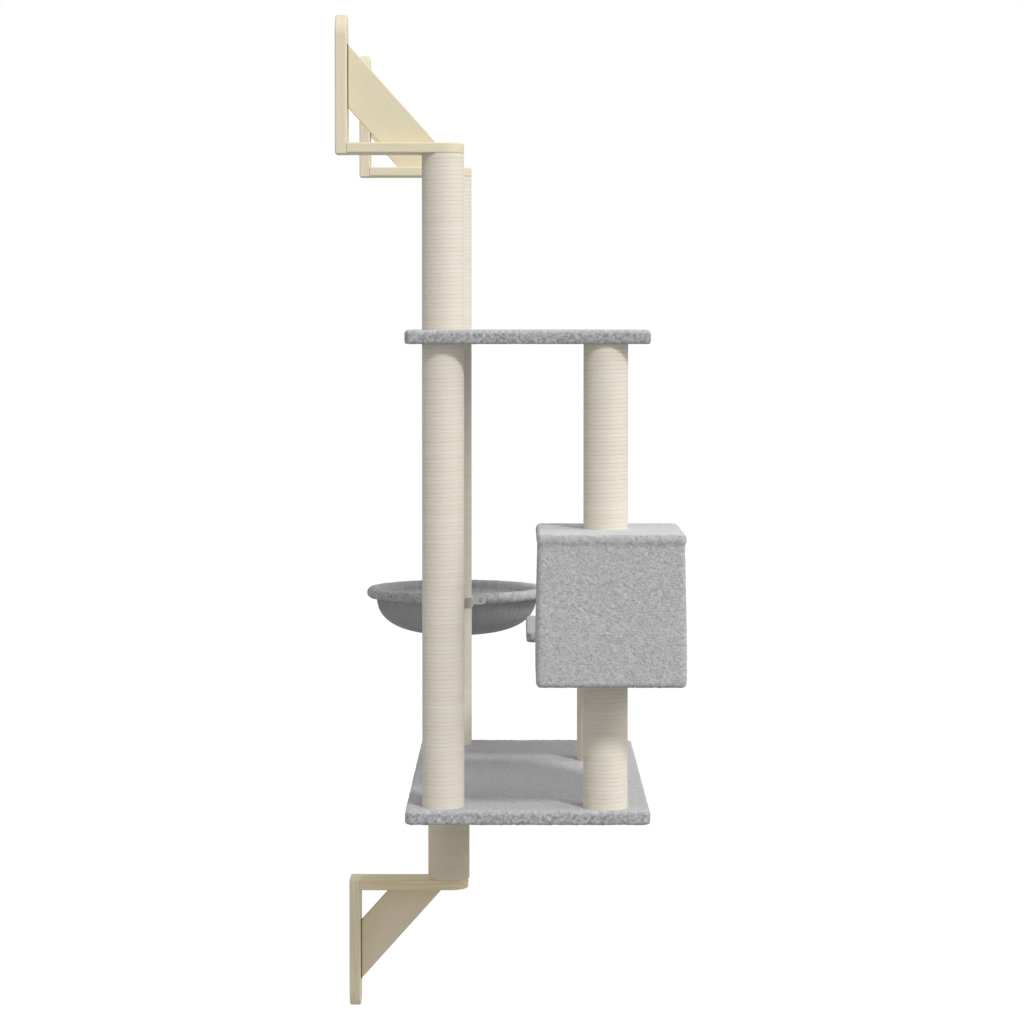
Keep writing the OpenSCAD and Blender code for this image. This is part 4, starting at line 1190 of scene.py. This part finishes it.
inside = turned_surface(lining_reach - room, lining_below, INNER_FOLD, lining_fade)
print("bowl", round(bowl_depth, 3), "m deep below its ring")

# %% [markdown]
# The mesh carries two numbers for the finish: painted shade along the folds, with a random thread
# tone here and there, and which face is the brushed one.

# %% Hang the bowl
RIB_SEED = 11

points = np.concatenate([outside[::-1], inside]).reshape(-1, 3)
total_rows = len(outside) + len(inside)
threads = wandering(BOWL_COLUMNS, 3, 0.5, RIB_SEED)[:BOWL_COLUMNS]
# Painted shade: the colour follows the folds, darker in the outside's hollows, with random thread
# tone.
painted_fold_shade_and_threads = 0.5 + 0.4 * folds * uneven + threads
rib = np.broadcast_to(painted_fold_shade_and_threads[None, :], (total_rows, BOWL_COLUMNS)).ravel()
inner = np.repeat([0.0, 1.0], [len(outside) * BOWL_COLUMNS, len(inside) * BOWL_COLUMNS])
faces = grid_quads(total_rows, BOWL_COLUMNS).tolist()
last = (total_rows - 1) * BOWL_COLUMNS
faces.append(list(range(BOWL_COLUMNS))[::-1])
faces.append([last + k for k in range(BOWL_COLUMNS)])
bowl = make_piece("bowl_knit_cloth", points, faces, bowl_knit, "bowl_cloth", ["bowl_cloth"],
                  rib=rib, inner=inner)

# %% [markdown]
# The rim is a padded tube of short plush over the steel ring. Its stuffing is uneven, and the cloth
# puckers at its outer foot, where it is gathered, so the tube swells and shrinks a little along its
# length. Coarser tufts over the fine ones make its shade blotchy.

# %% Pad the rim
RIM_COLUMNS = 900
RIM_SIDES = 28
SLOW_SWELL, QUICK_SWELL = 0.02, 0.012
RIM_PUCKERS, RIM_PUCKER = 57, 0.10
RIM_BLOTCH, BLOTCH_SCALE = 1.4, 0.45
RIM_CURL_DEPTH = 0.0009

turn_angle = np.arange(RIM_COLUMNS) * 2 * math.pi / RIM_COLUMNS
around = np.arange(RIM_SIDES) * 2 * math.pi / RIM_SIDES
slow = SLOW_SWELL * np.sin(23 * turn_angle + 1.0) * np.sin(7 * turn_angle)
swell = 1 + slow + QUICK_SWELL * np.sin(71 * turn_angle)
drift = np.sin(5 * turn_angle) + np.sin(12 * turn_angle + 2.0)
pucker = RIM_PUCKER * np.clip(np.sin(RIM_PUCKERS * turn_angle + 1.5 * drift), -0.3, 1)
outer_foot = np.clip(-np.sin(around), 0, 1) * np.clip(np.cos(around) + 0.4, 0, 1)
tube = tube_radius * RIM_SHARE * (swell[:, None] + pucker[:, None] * outer_foot[None, :])
reach = ring_radius + tube * np.cos(around)[None, :]
points = np.stack([axis[0] + reach * np.cos(turn_angle)[:, None],
                   axis[1] + reach * np.sin(turn_angle)[:, None],
                   rim_z + RIM_LIFT + tube * np.sin(around)[None, :]], 2).reshape(-1, 3)
quads = grid_quads(RIM_COLUMNS + 1, RIM_SIDES) % (RIM_COLUMNS * RIM_SIDES)
facing = normals_of(points, quads)
height = curls(points)
blotch = curls(points * BLOTCH_SCALE) - 0.5
points = points + facing * ((height - TUFT_MIDDLE) * RIM_CURL_DEPTH)[:, None]
rim = make_piece("bowl_rim_padding", points, quads, plush_rim, "rim_cloth", ["bowl_rim_cover"],
                 curl=height + RIM_BLOTCH * blotch)

# %% [markdown]
# ## Floor
# The tree hangs clear of a pale floor. The camera sees the floor almost as white as the sky, and a
# trace of plain shading keeps the tree's own shadow in it.

# %% Lay the floor
FLOOR_DROP = 0.45
FLOOR_SIZE = 40.0
FLOOR_GREY = (0.36, 0.36, 0.36, 1.0)
FLOOR_WHITE_SHARE = 0.90
FLOOR_WHITE = 1.08

floor_mesh = bpy.data.meshes.new("floor")
level = cad_box[0][2] - FLOOR_DROP
reach = FLOOR_SIZE / 2
square = [(-reach, -reach, level), (reach, -reach, level), (reach, reach, level),
          (-reach, reach, level)]
floor_mesh.from_pydata(square, [], [(0, 1, 2, 3)])
floor = bpy.data.objects.new("floor", floor_mesh)
bpy.context.collection.objects.link(floor)
pale = Finish("pale_floor", Roughness=0.8, Base_Color=FLOOR_GREY)
white = pale.node("ShaderNodeEmission", {}, {"Color": WHITE, "Strength": FLOOR_WHITE})
plain = Wire(pale, pale.shader.outputs[0])
share = pale.seen_directly() * FLOOR_WHITE_SHARE
blended = pale.node("ShaderNodeMixShader", {}, {0: share, 1: plain, 2: white})
pale.tree.links.new(blended.socket, pale.tree.nodes["Material Output"].inputs["Surface"])
floor_mesh.materials.append(pale.material)
print("floor at", round(level, 3))

# %% [markdown]
# ## The packed model's box
# The packed model's box was measured when the model was loaded, before any part was dressed. The
# dressed tree must stay inside the packed model's box, apart from a little pile.
